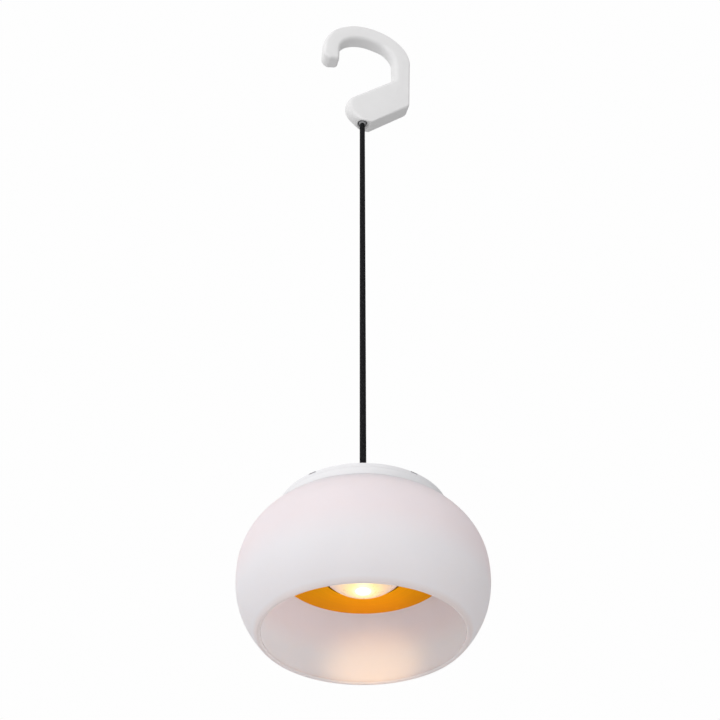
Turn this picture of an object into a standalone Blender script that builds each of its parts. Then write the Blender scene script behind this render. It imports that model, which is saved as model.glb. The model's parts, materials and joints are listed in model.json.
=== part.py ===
"""Hanging cordless lamp: a moulded hook, a braided cord and a frosted globe with a warm lamp in it.

The frame is the hook's: +Z is up, the hook lies in the XZ plane, and the origin is on the hook's
seat, straight above the cord.  Heights inside the lamp are measured up from the shade's rim.
"""
import math

import bmesh
import bpy
from mathutils import Vector

MM = 0.001
TAU = 2.0 * math.pi

# ---- driving dimensions, in millimetres --------------------------------------------------------
GAP = 0.3                     # clearance between pieces that touch on the real lamp

# Hook
HOOK_DEPTH = 12.0             # thickness of the moulding, along Y
HOOK_ROUND = 2.0              # rounding of its long edges
SEAT_RADIUS = 24.0            # inside of the arch
SEAT_OFFSET = 2.6             # arch centre, to the right of the cord
ARCH_RADIUS = 39.0            # outside of the arch
ARCH_OFFSET_X = 3.4
ARCH_TOP = 18.0               # thickness of the arch over the seat
TIP_DROP = 40.5               # how far the tip hangs below the seat
TIP_INNER_X = -21.6
TIP_CORNER = 3.5
SHANK_TAPER = 2.2             # how much the outer side leans in on its way down
NOSE_DROP = 115.6             # flat bottom of the nose, below the seat
NOSE_RADIUS = 18.2
NOSE_OFFSET = 3.6             # nose centre, to the right of the cord
ARM_WIDTH = 33.3              # the slanting arm, across its 45 degree edges
HEEL_CORNER = 5.0             # where the shank turns into the arm
CROTCH_CORNER = 4.0           # where the opening turns into the arm

# Cord and its two end balls
CORD_DIAMETER = 4.3
CORD_BALL_RADIUS = 4.2
PIVOT_ABOVE_NOSE = 5.0        # centre of the upper ball, above the bottom of the nose
SWING = math.radians(18.0)    # the cord leans this far fore and aft, and this far sideways
ROCK = math.radians(8.0)      # the lamp rocks this far each way on the lower ball
RIM_DROP = 580.5              # the shade's rim, below the seat

# Shade, heights above its own rim
SHADE_RADIUS = 75.0
SHADE_WALL = 2.4
BELLY_HEIGHT = 36.5           # the widest ring
LOWER_BULGE = 58.0            # half height of the lower curve
UPPER_BULGE = 52.5            # half height of the upper curve
LOWER_POWER = 2.17            # 2 is an ellipse, more is squarer
UPPER_POWER = 2.25
NECK_TOP = 77.6               # flat collar that the cap clamps
NECK_RADIUS = 46.0            # hole in the collar

# Cap: a dished housing and a flat cover
CAP_RADIUS = 52.4
CAP_TOP = 84.8
COVER_THICKNESS = 2.8
COVER_CHAMFER = 0.9
CAP_WALL = 1.4
FLOOR_THICKNESS = 1.4
GASKET = 0.8
GASKET_WIDTH = 3.6
SKIRT_LAP = 0.8               # the housing's skirt hides the gasket
NOTCH_WIDTH = 7.0
NOTCH_DEPTH = 0.8
NOTCH_HEIGHT = 1.3
LAMP_FRONT = math.radians(-16.0)
NOTCH_ANGLE = math.radians(35.0)

# Swivel in the cap
WASHER_THICKNESS = 1.2
TOWER_WALL = 2.2
BUSHING_RADIUS = 6.2

# Controls on the cover
BUTTON_X, CONTROL_Y = 12.0, 24.0
BUTTON_RADIUS = 5.0
BUTTON_TRAVEL = 0.8
BUTTON_PROUD = 0.5
PIPE_RADIUS = 1.2
PORT_X = -12.0
FLAP_LENGTH, FLAP_WIDTH, FLAP_THICKNESS = 14.0, 8.0, 1.0
SOCKET_LENGTH, SOCKET_WIDTH, SOCKET_HEIGHT = 9.2, 3.4, 4.3
BOARD_THICKNESS = 1.2
BOARD_LIFT = 0.4
BOARD_HALF_X, BOARD_NEAR_Y, BOARD_FAR_Y = 24.0, 13.5, 31.0
LEAD_Y = BOARD_FAR_Y + 2.5     # the leads come up just behind the board

# Inner can, reflector and light
CAN_RADIUS = 51.7
CAN_WALL = 1.2
CAN_BOTTOM = 44.8
CAN_MOUTH = 36.0
REFLECTOR_HOLE = 24.1
REFLECTOR_DROP = 5.8          # the gold cone dips this far towards the lens
REFLECTOR_WALL = 1.0
LENS_RADIUS = 22.8
LENS_SAG = 9.7
LENS_WALL = 1.6
LED_BOARD_RADIUS = 19.5
LED_BOARD_THICKNESS = 1.6
EMITTER_RADIUS = 6.0
SPREADER_THICKNESS = 1.8

# Battery
CELL_RADIUS, CELL_LENGTH = 9.15, 65.0
TRAY_WALL = 1.2
SPRING_LENGTH = 3.2
CONTACT_THICKNESS = 0.5
LEAD_RADIUS = 0.75

# Screws
CAN_SCREW_CIRCLE = 41.0
CAN_SCREW_START = math.radians(-83.0)
SCREW_RADIUS = 1.3
SCREW_HEAD_RADIUS = 2.6
SCREW_HEAD_HEIGHT = 1.6

# Facets
ROUND_BIG, ROUND_MID, ROUND_SMALL, ROUND_TINY = 48, 32, 20, 10
OFF_AXIS_START = 0.11

# ---- places that follow from the sizes ---------------------------------------------------------
CORD_RADIUS = CORD_DIAMETER / 2.0
CORD_LEAN = math.acos(math.cos(SWING) ** 2)      # both swings at once
ROCK_LEAN = math.acos(math.cos(ROCK) ** 2)       # both rocks at once
NOSE_Z = -NOSE_DROP
PIVOT_Z = NOSE_Z + PIVOT_ABOVE_NOSE
NECK_BOTTOM = NECK_TOP - SHADE_WALL
GASKET_TOP = NECK_TOP + GAP + GASKET
FLANGE_BOTTOM = GASKET_TOP + GAP
COVER_BOTTOM = CAP_TOP - COVER_THICKNESS
SPIGOT_RADIUS = NECK_RADIUS - 2.0 * GAP
FLOOR_BOTTOM = NECK_BOTTOM - GAP
FLOOR_TOP = FLOOR_BOTTOM + FLOOR_THICKNESS
SOCKET_RADIUS = CORD_BALL_RADIUS + GAP + WASHER_THICKNESS + GAP
TOWER_RADIUS = SOCKET_RADIUS + TOWER_WALL
TOWER_TOP = COVER_BOTTOM - GAP
LOWER_PIVOT = TOWER_TOP - SOCKET_RADIUS + 0.8
BOARD_BOTTOM = FLOOR_TOP + BOARD_LIFT + GAP
BOARD_TOP = BOARD_BOTTOM + BOARD_THICKNESS
CAN_TOP = FLOOR_BOTTOM - GASKET - GAP
CAN_INNER = CAN_RADIUS - CAN_WALL
CONE_INNER_Z = CAN_BOTTOM - REFLECTOR_DROP
RIM_FLANGE_TOP = CAN_BOTTOM + 2.1
SPREADER_BOTTOM = RIM_FLANGE_TOP + GAP
SPREADER_TOP = SPREADER_BOTTOM + SPREADER_THICKNESS
HUB_BOTTOM = SPREADER_BOTTOM - 1.7
LED_BOARD_TOP = HUB_BOTTOM - GAP
LED_BOARD_BOTTOM = LED_BOARD_TOP - LED_BOARD_THICKNESS
LENS_FLANGE_BOTTOM = CONE_INNER_Z + REFLECTOR_WALL + 2.0 * GAP
LENS_FLANGE_TOP = LENS_FLANGE_BOTTOM + 1.2
LENS_FLANGE_RADIUS = LENS_RADIUS + 2.7
TRAY_BOTTOM = SPREADER_TOP + GAP
TRAY_FLOOR = TRAY_BOTTOM + TRAY_WALL
CELL_Z = TRAY_FLOOR + GAP + CELL_RADIUS
CELL_Y = CELL_RADIUS + GAP
TRAY_HALF_X = CELL_LENGTH / 2.0 + (SPRING_LENGTH + 2.0 * CONTACT_THICKNESS + 4.0 * GAP) / 2.0
TRAY_HALF_Y = 2.0 * CELL_RADIUS + 2.0 * GAP
EAR_LENGTH = 7.0


# ---- small tools ---------------------------------------------------------------------------------
def clear_scene():
    for obj in list(bpy.data.objects):
        bpy.data.objects.remove(obj, do_unlink=True)


def material(name, colour, roughness, metallic=0.0):
    """A Principled material; each sub-part has its own."""
    mat = bpy.data.materials.new(name)
    mat.use_nodes = True
    shader = mat.node_tree.nodes["Principled BSDF"]
    shader.inputs["Base Color"].default_value = (*colour, 1.0)
    shader.inputs["Roughness"].default_value = roughness
    shader.inputs["Metallic"].default_value = metallic
    mat.diffuse_color = (*colour, 1.0)
    return mat


def add_object(name, mesh, finish, z=0.0, parent=None):
    """Link a mesh given in millimetres, standing at height z of its parent's frame."""
    mesh.shade_smooth()
    mesh.set_sharp_from_angle(angle=math.radians(35.0))
    mesh.materials.append(material(name + "_finish", *finish))
    obj = bpy.data.objects.new(name, mesh)
    bpy.context.collection.objects.link(obj)
    obj.location = (0.0, 0.0, z * MM)
    obj.parent = parent
    return obj


def empty(name, place, parent=None):
    """A joint's own frame, at a place in millimetres."""
    obj = bpy.data.objects.new(name, None)
    bpy.context.collection.objects.link(obj)
    obj.location = Vector(place) * MM
    obj.parent = parent
    return obj


def mesh_from(name, verts, faces):
    """A mesh in metres from points in millimetres, with its faces turned outwards."""
    mesh = bpy.data.meshes.new(name)
    mesh.from_pydata([Vector(v) * MM for v in verts], [], faces)
    bm = bmesh.new()
    bm.from_mesh(mesh)
    bmesh.ops.recalc_face_normals(bm, faces=bm.faces)
    bm.to_mesh(mesh)
    bm.free()
    return mesh


def turned(name, profile, segments, centre=(0.0, 0.0)):
    """A closed solid turned about Z from (radius, height) points; the last joins the first.

    Small pieces off the axis start a little round, which keeps their corners off others' edges.
    """
    verts, rings = [], []
    start = 0.0 if centre == (0.0, 0.0) else OFF_AXIS_START
    for radius, height in profile:
        if radius < 1e-6:
            rings.append([len(verts)] * segments)
            verts.append((centre[0], centre[1], height))
            continue
        rings.append([len(verts) + k for k in range(segments)])
        for k in range(segments):
            angle = start + TAU * k / segments
            verts.append((centre[0] + radius * math.cos(angle),
                          centre[1] + radius * math.sin(angle), height))
    faces = []
    for i, ring in enumerate(rings):
        following = rings[(i + 1) % len(rings)]
        for k in range(segments):
            n = (k + 1) % segments
            corners = [ring[k], ring[n], following[n], following[k]]
            face = [c for j, c in enumerate(corners) if c not in corners[:j]]
            if len(face) > 2:
                faces.append(face)
    return mesh_from(name, verts, faces)


def plate(name, outline, low, high, axis="Z"):
    """Extrude a flat outline; axis Z gives a plate, axis Y gives a profile in the XZ plane."""
    if axis == "Z":
        verts = [(x, y, low) for x, y in outline] + [(x, y, high) for x, y in outline]
    else:
        verts = [(x, low, z) for x, z in outline] + [(x, high, z) for x, z in outline]
    n = len(outline)
    faces = [list(range(n)), list(range(2 * n - 1, n - 1, -1))]
    faces += [[i, n + i, n + (i + 1) % n, (i + 1) % n] for i in range(n)]
    return mesh_from(name, verts, faces)


def block(name, x, y, z):
    """A box between (low, high) pairs."""
    return plate(name, [(x[0], y[0]), (x[1], y[0]), (x[1], y[1]), (x[0], y[1])], z[0], z[1])


def arc(cx, cz, radius, start, end, steps):
    """Points on an arc, both ends included, angles in degrees."""
    angles = [math.radians(start + (end - start) * i / steps) for i in range(steps + 1)]
    return [(cx + radius * math.cos(a), cz + radius * math.sin(a)) for a in angles]


def rounded(outline, corners, steps=4):
    """Round the corners named {index: radius} of an outline with tangent arcs."""
    result = []
    for i, (x, y) in enumerate(outline):
        if i not in corners:
            result.append((x, y))
            continue
        here = Vector((x, y))
        back = (Vector(outline[i - 1]) - here).normalized()
        ahead = (Vector(outline[(i + 1) % len(outline)]) - here).normalized()
        half = back.angle(ahead) / 2.0
        centre = here + (back + ahead).normalized() * (corners[i] / math.sin(half))
        first = (here + back * (corners[i] / math.tan(half)) - centre).normalized()
        last = (here + ahead * (corners[i] / math.tan(half)) - centre).normalized()
        for k in range(steps + 1):
            result.append(tuple(centre + corners[i] * first.slerp(last, k / steps)))
    return result


def rounded_box_outline(cx, cy, length, width, radius):
    """A rectangle with round corners, centred at (cx, cy)."""
    a, b = length / 2.0, width / 2.0
    corners = [(cx - a, cy - b), (cx + a, cy - b), (cx + a, cy + b), (cx - a, cy + b)]
    return rounded(corners, {i: radius for i in range(4)}, steps=3)


def cutter(name, mesh, z=0.0, parent=None):
    """A helper solid for a Boolean; it isn't part of the lamp."""
    obj = bpy.data.objects.new(name, mesh)
    bpy.context.collection.objects.link(obj)
    obj.location = (0.0, 0.0, z * MM)
    obj.parent = parent
    obj.hide_render = True
    obj.display_type = "WIRE"
    return obj


def cut(target, tool, operation="DIFFERENCE"):
    modifier = target.modifiers.new(operation.lower() + "_" + tool.name, "BOOLEAN")
    modifier.operation = operation
    modifier.solver = "EXACT"
    modifier.object = tool
    return modifier


def smooth_path(points, per_span):
    """A Catmull-Rom curve through the points, which it passes exactly."""
    pts = [Vector(p) for p in points]
    pts = [2 * pts[0] - pts[1]] + pts + [2 * pts[-1] - pts[-2]]
    path = []
    for i in range(1, len(pts) - 2):
        p0, p1, p2, p3 = pts[i - 1:i + 3]
        for k in range(per_span):
            t = k / per_span
            path.append(0.5 * ((2 * p1) + (p2 - p0) * t + (2 * p0 - 5 * p1 + 4 * p2 - p3) * t * t
                               + (3 * p1 - p0 - 3 * p2 + p3) * t ** 3))
    return path + [pts[-2]]


def tube(name, path, radius, finish, resolution=2, z=0.0, parent=None):
    """A round tube along a path in millimetres, as a bevelled curve with filled ends."""
    curve = bpy.data.curves.new(name, "CURVE")
    curve.dimensions = "3D"
    curve.bevel_depth = radius * MM
    curve.bevel_resolution = resolution
    curve.use_fill_caps = True
    spline = curve.splines.new("POLY")
    spline.points.add(len(path) - 1)
    for point, place in zip(spline.points, path):
        point.co = (*(Vector(place) * MM), 1.0)
    curve.materials.append(material(name + "_finish", *finish))
    obj = bpy.data.objects.new(name, curve)
    bpy.context.collection.objects.link(obj)
    obj.location = (0.0, 0.0, z * MM)
    obj.parent = parent
    return obj


# ---- finishes ------------------------------------------------------------------------------------
WHITE = ((0.80, 0.80, 0.79), 0.42)
FROST = ((0.78, 0.74, 0.75), 0.55)
GOLD = ((0.80, 0.42, 0.08), 0.32, 0.9)
BRAID = ((0.012, 0.012, 0.013), 0.85)
STEEL = ((0.62, 0.62, 0.63), 0.30, 1.0)
BRASS = ((0.78, 0.60, 0.26), 0.35, 1.0)
RUBBER = ((0.55, 0.55, 0.55), 0.80)
GLOW = ((1.00, 0.86, 0.55), 0.25)
BOARD = ((0.03, 0.22, 0.08), 0.50)
ALUMINIUM = ((0.72, 0.72, 0.73), 0.40, 1.0)
PLASTIC = ((0.06, 0.06, 0.07), 0.55)
CELL = ((0.05, 0.20, 0.42), 0.40)
RED = ((0.55, 0.03, 0.03), 0.50)
BLACK = ((0.02, 0.02, 0.02), 0.50)


# ---- hook ------------------------------------------------------------------------------------------
def hook_outline():
    """The hook's edge in the XZ plane, from the tip round the outside and back along the inside."""
    seat_z = -math.sqrt(SEAT_RADIUS ** 2 - SEAT_OFFSET ** 2)
    arch_z = ARCH_TOP - ARCH_RADIUS
    right = ARCH_OFFSET_X + ARCH_RADIUS - SHANK_TAPER
    nose_x, nose_z = NOSE_OFFSET, NOSE_Z + NOSE_RADIUS
    half = math.sqrt(0.5)
    top_x, top_z = nose_x - NOSE_RADIUS * half, nose_z + NOSE_RADIUS * half
    low_shift = (ARM_WIDTH - NOSE_RADIUS) / half
    heel_z = nose_z - low_shift + (right - nose_x)
    crotch_x = SEAT_OFFSET + SEAT_RADIUS
    crotch_z = top_z + (crotch_x - top_x)
    flat_end = nose_x + low_shift - NOSE_RADIUS
    tip_z = -TIP_DROP
    outside = arc(ARCH_OFFSET_X, arch_z, ARCH_RADIUS, 180.0, 0.0, 24)
    heel = [(right, heel_z), (flat_end, NOSE_Z)]
    nose = arc(nose_x, nose_z, NOSE_RADIUS, 270.0, 135.0, 12)
    crotch = [(crotch_x, crotch_z)]
    inside = arc(SEAT_OFFSET, seat_z, SEAT_RADIUS, 0.0, 180.0, 18)
    tip = [(TIP_INNER_X, tip_z), (ARCH_OFFSET_X - ARCH_RADIUS, tip_z)]
    outline = outside + heel + nose + crotch + inside + tip
    last = len(outline) - 1
    first_heel = len(outside)
    first_crotch = first_heel + len(heel) + len(nose)
    return rounded(outline, {last: TIP_CORNER, last - 1: TIP_CORNER, first_heel: HEEL_CORNER,
                             first_crotch: CROTCH_CORNER})


def funnel_radius(below):
    """Room for the leaning cord, this far below its pivot."""
    return CORD_RADIUS / math.cos(CORD_LEAN) + below * math.tan(CORD_LEAN) + GAP


def socket_profile():
    """Ball seat, throat and funnel under the upper ball, and the bore that it is put in by."""
    seat = CORD_BALL_RADIUS + GAP
    throat_angle = math.degrees(math.asin(CORD_RADIUS / CORD_BALL_RADIUS) + CORD_LEAN) + 1.5
    bowl = arc(0.0, 0.0, seat, -90.0 + throat_angle, 0.0, 5)
    throat = max(bowl[0][0], funnel_radius(-bowl[0][1]))
    bowl[0] = (throat, bowl[0][1])
    mouth = PIVOT_ABOVE_NOSE + 1.0
    bore_top = HOOK_DEPTH + ARM_WIDTH
    return [(0.0, -mouth), (funnel_radius(mouth), -mouth)] + bowl + [(seat, bore_top), (0.0, bore_top)]


def make_hook():
    body = add_object("hook_body", plate("hook_body", hook_outline(), -HOOK_DEPTH / 2.0,
                                         HOOK_DEPTH / 2.0, axis="Y"), WHITE)
    bevel = body.modifiers.new("long_edges", "BEVEL")
    bevel.width = HOOK_ROUND * MM
    bevel.segments = 2
    bevel.limit_method = "ANGLE"
    bevel.angle_limit = math.radians(60.0)
    cut(body, cutter("cut_cord_socket", turned("cut_cord_socket", socket_profile(), ROUND_SMALL),
                     z=PIVOT_Z))
    add_object("hook_plug", plug_mesh(), WHITE, z=PIVOT_Z)


def plug_mesh():
    """A peg that closes the bore over the ball; its top slants with the arm's edge."""
    radius = CORD_BALL_RADIUS
    low = CORD_BALL_RADIUS + 2.0 * GAP
    arm_edge = NOSE_RADIUS * math.sqrt(2.0) - PIVOT_ABOVE_NOSE + NOSE_RADIUS - NOSE_OFFSET
    ring = arc(0.0, 0.0, radius, 0.0, 360.0, ROUND_SMALL)[:-1]
    verts = [(x, y, low) for x, y in ring] + [(x, y, arm_edge + x - GAP) for x, y in ring]
    n = len(ring)
    faces = [list(range(n)), list(range(2 * n - 1, n - 1, -1))]
    faces += [[i, n + i, n + (i + 1) % n, (i + 1) % n] for i in range(n)]
    return mesh_from("hook_plug", verts, faces)


# ---- cord ------------------------------------------------------------------------------------------
def make_cord(lower_pivot_z):
    """The braided cord hangs straight between its two crimped balls."""
    ball = [(0.0, -CORD_BALL_RADIUS)] + arc(0.0, 0.0, CORD_BALL_RADIUS, -70.0, 70.0, 7)
    ball.append((0.0, CORD_BALL_RADIUS))
    add_object("cord_ball", turned("cord_ball", ball, ROUND_SMALL), STEEL, z=PIVOT_Z)
    top = -CORD_BALL_RADIUS - GAP
    bottom = lower_pivot_z - PIVOT_Z + CORD_BALL_RADIUS + GAP
    count = 36
    path = [(0.0, 0.0, top + (bottom - top) * i / count) for i in range(count + 1)]
    tube("cord", path, CORD_RADIUS, BRAID, resolution=2, z=PIVOT_Z)
    add_object("cord_end_ball", turned("cord_end_ball", ball, ROUND_SMALL), STEEL, z=lower_pivot_z)


# ---- shade -----------------------------------------------------------------------------------------
def bulge(height, inset=0.0):
    """Radius of the shade's outer face at a height over the rim, or of a face inset from it."""
    low = height < BELLY_HEIGHT
    reach = (LOWER_BULGE if low else UPPER_BULGE) - inset
    power = LOWER_POWER if low else UPPER_POWER
    share = abs(height - BELLY_HEIGHT) / reach
    return (SHADE_RADIUS - inset) * (1.0 - share ** power) ** (1.0 / power)


def wall(low, high, steps, inset=0.0):
    return [(bulge(low + (high - low) * i / steps, inset), low + (high - low) * i / steps)
            for i in range(steps + 1)]


def make_shade(lamp):
    """A blown globe with an open bottom and a flat collar round its neck."""
    outer = wall(0.0, BELLY_HEIGHT, 5) + wall(BELLY_HEIGHT, NECK_TOP, 6)[1:]
    inner = wall(NECK_BOTTOM - 0.4, BELLY_HEIGHT, 5, SHADE_WALL)
    inner += wall(BELLY_HEIGHT, 0.0, 5, SHADE_WALL)[1:]
    collar = [(NECK_RADIUS, NECK_TOP), (NECK_RADIUS, NECK_BOTTOM), (inner[0][0] - 1.5, NECK_BOTTOM)]
    add_object("shade", turned("shade", outer + collar + inner, ROUND_BIG), FROST, parent=lamp)
    ring = [(NECK_RADIUS + 0.6, 0.0), (NECK_RADIUS + 0.6 + GASKET_WIDTH, 0.0),
            (NECK_RADIUS + 0.6 + GASKET_WIDTH, GASKET), (NECK_RADIUS + 0.6, GASKET)]
    for name, z in (("upper_gasket", NECK_TOP + GAP), ("lower_gasket", NECK_BOTTOM - GAP - GASKET)):
        add_object(name, turned(name, ring, ROUND_MID), RUBBER, z=z, parent=lamp)


# ---- cap -------------------------------------------------------------------------------------------
def socket_arc(radius, low, high, steps):
    """Part of a bowl over the lower pivot; angles in degrees from the horizontal."""
    return [(r, z + LOWER_PIVOT) for r, z in arc(0.0, 0.0, radius, low, high, steps)]


def cord_room(height):
    """Room for the rocking cord at a height over the rim."""
    return CORD_RADIUS / math.cos(ROCK_LEAN) + (height - LOWER_PIVOT) * math.tan(ROCK_LEAN) + GAP


def screw_places():
    return [(CAN_SCREW_CIRCLE * math.cos(a), CAN_SCREW_CIRCLE * math.sin(a))
            for a in (CAN_SCREW_START + TAU * k / 3.0 for k in range(3))]


def make_cap_housing(lamp):
    """Skirt, flange, spigot and floor in one turning, with the ball socket as a tower."""
    skirt_in = CAP_RADIUS - 1.0
    hole = cord_room(TOWER_TOP)
    bowl = socket_arc(SOCKET_RADIUS, 0.0, math.degrees(math.acos(hole / SOCKET_RADIUS)), 6)
    profile = [
        (CAP_RADIUS, FLANGE_BOTTOM - SKIRT_LAP), (CAP_RADIUS, COVER_BOTTOM - GAP),
        (CAP_RADIUS - CAP_WALL, COVER_BOTTOM - GAP), (CAP_RADIUS - CAP_WALL, FLANGE_BOTTOM + 1.2),
        (SPIGOT_RADIUS - CAP_WALL, FLANGE_BOTTOM + 1.2), (SPIGOT_RADIUS - CAP_WALL, FLOOR_TOP),
        (TOWER_RADIUS, FLOOR_TOP), (TOWER_RADIUS, TOWER_TOP), (hole, TOWER_TOP)]
    profile += bowl[::-1]
    profile += [(SOCKET_RADIUS, FLOOR_BOTTOM), (SPIGOT_RADIUS, FLOOR_BOTTOM),
                (SPIGOT_RADIUS, FLANGE_BOTTOM), (skirt_in, FLANGE_BOTTOM),
                (skirt_in, FLANGE_BOTTOM - SKIRT_LAP)]
    housing = add_object("cap_housing", turned("cap_housing", profile, ROUND_BIG), WHITE, parent=lamp)
    for k, (x, y) in enumerate(screw_places()):
        bore = [(0.0, FLOOR_BOTTOM - 1.0), (SCREW_RADIUS + GAP, FLOOR_BOTTOM - 1.0),
                (SCREW_RADIUS + GAP, FLOOR_TOP + 1.0), (0.0, FLOOR_TOP + 1.0)]
        tool = turned("cut_can_screw", bore, ROUND_TINY, centre=(x, y))
        cut(housing, cutter("cut_can_screw_%d" % (k + 1), tool, parent=lamp))
    lead_slot = plate("cut_lead_slot", rounded_box_outline(0.0, LEAD_Y, 12.0, 3.2, 1.4),
                      FLOOR_BOTTOM - 1.0, FLOOR_TOP + 1.0)
    cut(housing, cutter("cut_lead_slot", lead_slot, parent=lamp))
    return housing


def make_top_cover(lamp):
    """A flat disc with a soft top edge, prying notches, and holes for the cord and controls."""
    profile = [(BUSHING_RADIUS + GAP, COVER_BOTTOM), (CAP_RADIUS, COVER_BOTTOM),
               (CAP_RADIUS, CAP_TOP - COVER_CHAMFER),
               (CAP_RADIUS - 0.3 * COVER_CHAMFER, CAP_TOP - 0.3 * COVER_CHAMFER),
               (CAP_RADIUS - COVER_CHAMFER, CAP_TOP), (BUSHING_RADIUS + GAP, CAP_TOP)]
    cover = add_object("top_cover", turned("top_cover", profile, ROUND_BIG), WHITE, parent=lamp)
    for k, turn in enumerate((-NOTCH_ANGLE, NOTCH_ANGLE, math.pi - NOTCH_ANGLE, math.pi + NOTCH_ANGLE)):
        notch = block("cut_notch", (-NOTCH_WIDTH / 2.0, NOTCH_WIDTH / 2.0),
                      (-CAP_RADIUS - 1.0, -CAP_RADIUS + NOTCH_DEPTH),
                      (CAP_TOP - NOTCH_HEIGHT, CAP_TOP + 1.0))
        tool = cutter("cut_notch_%d" % (k + 1), notch, parent=lamp)
        tool.rotation_euler = (0.0, 0.0, LAMP_FRONT + turn)
        cut(cover, tool)
    for name, x, radius in (("cut_button", BUTTON_X, BUTTON_RADIUS + GAP),
                            ("cut_light_pipe", 0.0, PIPE_RADIUS + GAP)):
        bore = [(0.0, COVER_BOTTOM - 1.0), (radius, COVER_BOTTOM - 1.0), (radius, CAP_TOP + 1.0),
                (0.0, CAP_TOP + 1.0)]
        cut(cover, cutter(name, turned(name, bore, ROUND_SMALL, centre=(x, CONTROL_Y)), parent=lamp))
    recess = plate("cut_recess", rounded_box_outline(PORT_X, CONTROL_Y, FLAP_LENGTH + 2.0 * GAP,
                                                     FLAP_WIDTH + 2.0 * GAP, 1.0),
                   CAP_TOP - FLAP_THICKNESS - GAP, CAP_TOP + 1.0)
    cut(cover, cutter("cut_recess", recess, parent=lamp))
    slot = plate("cut_slot", rounded_box_outline(PORT_X, CONTROL_Y, SOCKET_LENGTH + 2.0 * GAP,
                                                 SOCKET_WIDTH + 2.0 * GAP, 1.2),
                 COVER_BOTTOM - 1.0, CAP_TOP)
    cut(cover, cutter("cut_slot", slot, parent=lamp))


def make_swivel(lamp_z):
    """The dished washer that the lamp hangs by, between the lower ball and the cap's socket."""
    inner = CORD_BALL_RADIUS + GAP
    outer = inner + WASHER_THICKNESS
    bowl = arc(0.0, 0.0, inner, 8.0, 50.0, 5)
    back = arc(0.0, 0.0, outer, 50.0, 8.0, 5)
    add_object("seat_washer", turned("seat_washer", bowl + back, ROUND_SMALL), BRASS, z=lamp_z + LOWER_PIVOT)


def make_bushing(lamp):
    """Soft collar in the cover, flared for the rocking cord."""
    low, high = COVER_BOTTOM - GAP, CAP_TOP + 0.6
    profile = [(cord_room(low) + 0.2, low + 0.6), (BUSHING_RADIUS, low + 0.6), (BUSHING_RADIUS, high - 0.5),
               (BUSHING_RADIUS - 0.5, high), (cord_room(high) + 0.6, high),
               (cord_room(high) + 0.1, high - 0.7)]
    add_object("cord_bushing", turned("cord_bushing", profile, ROUND_SMALL), RUBBER, parent=lamp)


# ---- controls --------------------------------------------------------------------------------------
def make_board(lamp):
    """Charge and lamp control board beside the tower, on the floor of the housing."""
    outline = rounded_box_outline(0.0, (BOARD_NEAR_Y + BOARD_FAR_Y) / 2.0, 2.0 * BOARD_HALF_X,
                                  BOARD_FAR_Y - BOARD_NEAR_Y, 2.0)
    board = add_object("control_board", plate("control_board", outline, BOARD_BOTTOM, BOARD_TOP),
                       BOARD, parent=lamp)
    places = [(side * (BOARD_HALF_X - 3.4), BOARD_NEAR_Y + 3.2) for side in (-1.0, 1.0)]
    for k, (x, y) in enumerate(places):
        bore = [(0.0, FLOOR_BOTTOM + 0.5), (SCREW_RADIUS + GAP, FLOOR_BOTTOM + 0.5),
                (SCREW_RADIUS + GAP, BOARD_TOP + 1.0), (0.0, BOARD_TOP + 1.0)]
        tool = cutter("cut_board_screw_%d" % (k + 1),
                      turned("cut_board_screw", bore, ROUND_TINY, centre=(x, y)), parent=lamp)
        cut(board, tool)
        cut(bpy.data.objects["cap_housing"], tool)
        make_screw("board_screw_%d" % (k + 1), x, y, BOARD_TOP + GAP, FLOOR_BOTTOM + 0.5 + GAP, lamp)


def make_controls(lamp):
    """Push button on its switch, charge light, and the charging socket under a hinged flap."""
    flange_top = COVER_BOTTOM - GAP
    flange_bottom = flange_top - 0.9
    top = CAP_TOP + BUTTON_PROUD
    button = [(0.0, flange_bottom), (BUTTON_RADIUS + 1.2, flange_bottom), (BUTTON_RADIUS + 1.2, flange_top),
              (BUTTON_RADIUS, flange_top), (BUTTON_RADIUS, top - 0.6), (BUTTON_RADIUS - 0.6, top),
              (0.0, top)]
    axis = empty("button_axis", (BUTTON_X, CONTROL_Y, 0.0), lamp)
    add_object("power_button", turned("power_button", button, ROUND_SMALL), RUBBER, parent=axis)
    switch_top = flange_bottom - BUTTON_TRAVEL - GAP
    base_top = BOARD_TOP + GAP + 0.45 * (switch_top - BOARD_TOP)
    switch = turned("tact_switch", [(0.0, BOARD_TOP + GAP), (2.6, BOARD_TOP + GAP), (2.6, base_top),
                                    (1.5, base_top), (1.5, switch_top), (0.0, switch_top)],
                    ROUND_TINY, centre=(BUTTON_X, CONTROL_Y))
    add_object("tact_switch", switch, PLASTIC, parent=lamp)
    pipe = [(0.0, BOARD_TOP + 0.8), (PIPE_RADIUS, BOARD_TOP + 0.8), (PIPE_RADIUS, CAP_TOP - 0.3),
            (PIPE_RADIUS - 0.3, CAP_TOP), (0.0, CAP_TOP)]
    add_object("charge_light_pipe", turned("charge_light_pipe", pipe, ROUND_TINY, centre=(0.0, CONTROL_Y)),
               GLOW, parent=lamp)
    make_socket(lamp)
    make_flap(lamp)


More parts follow.
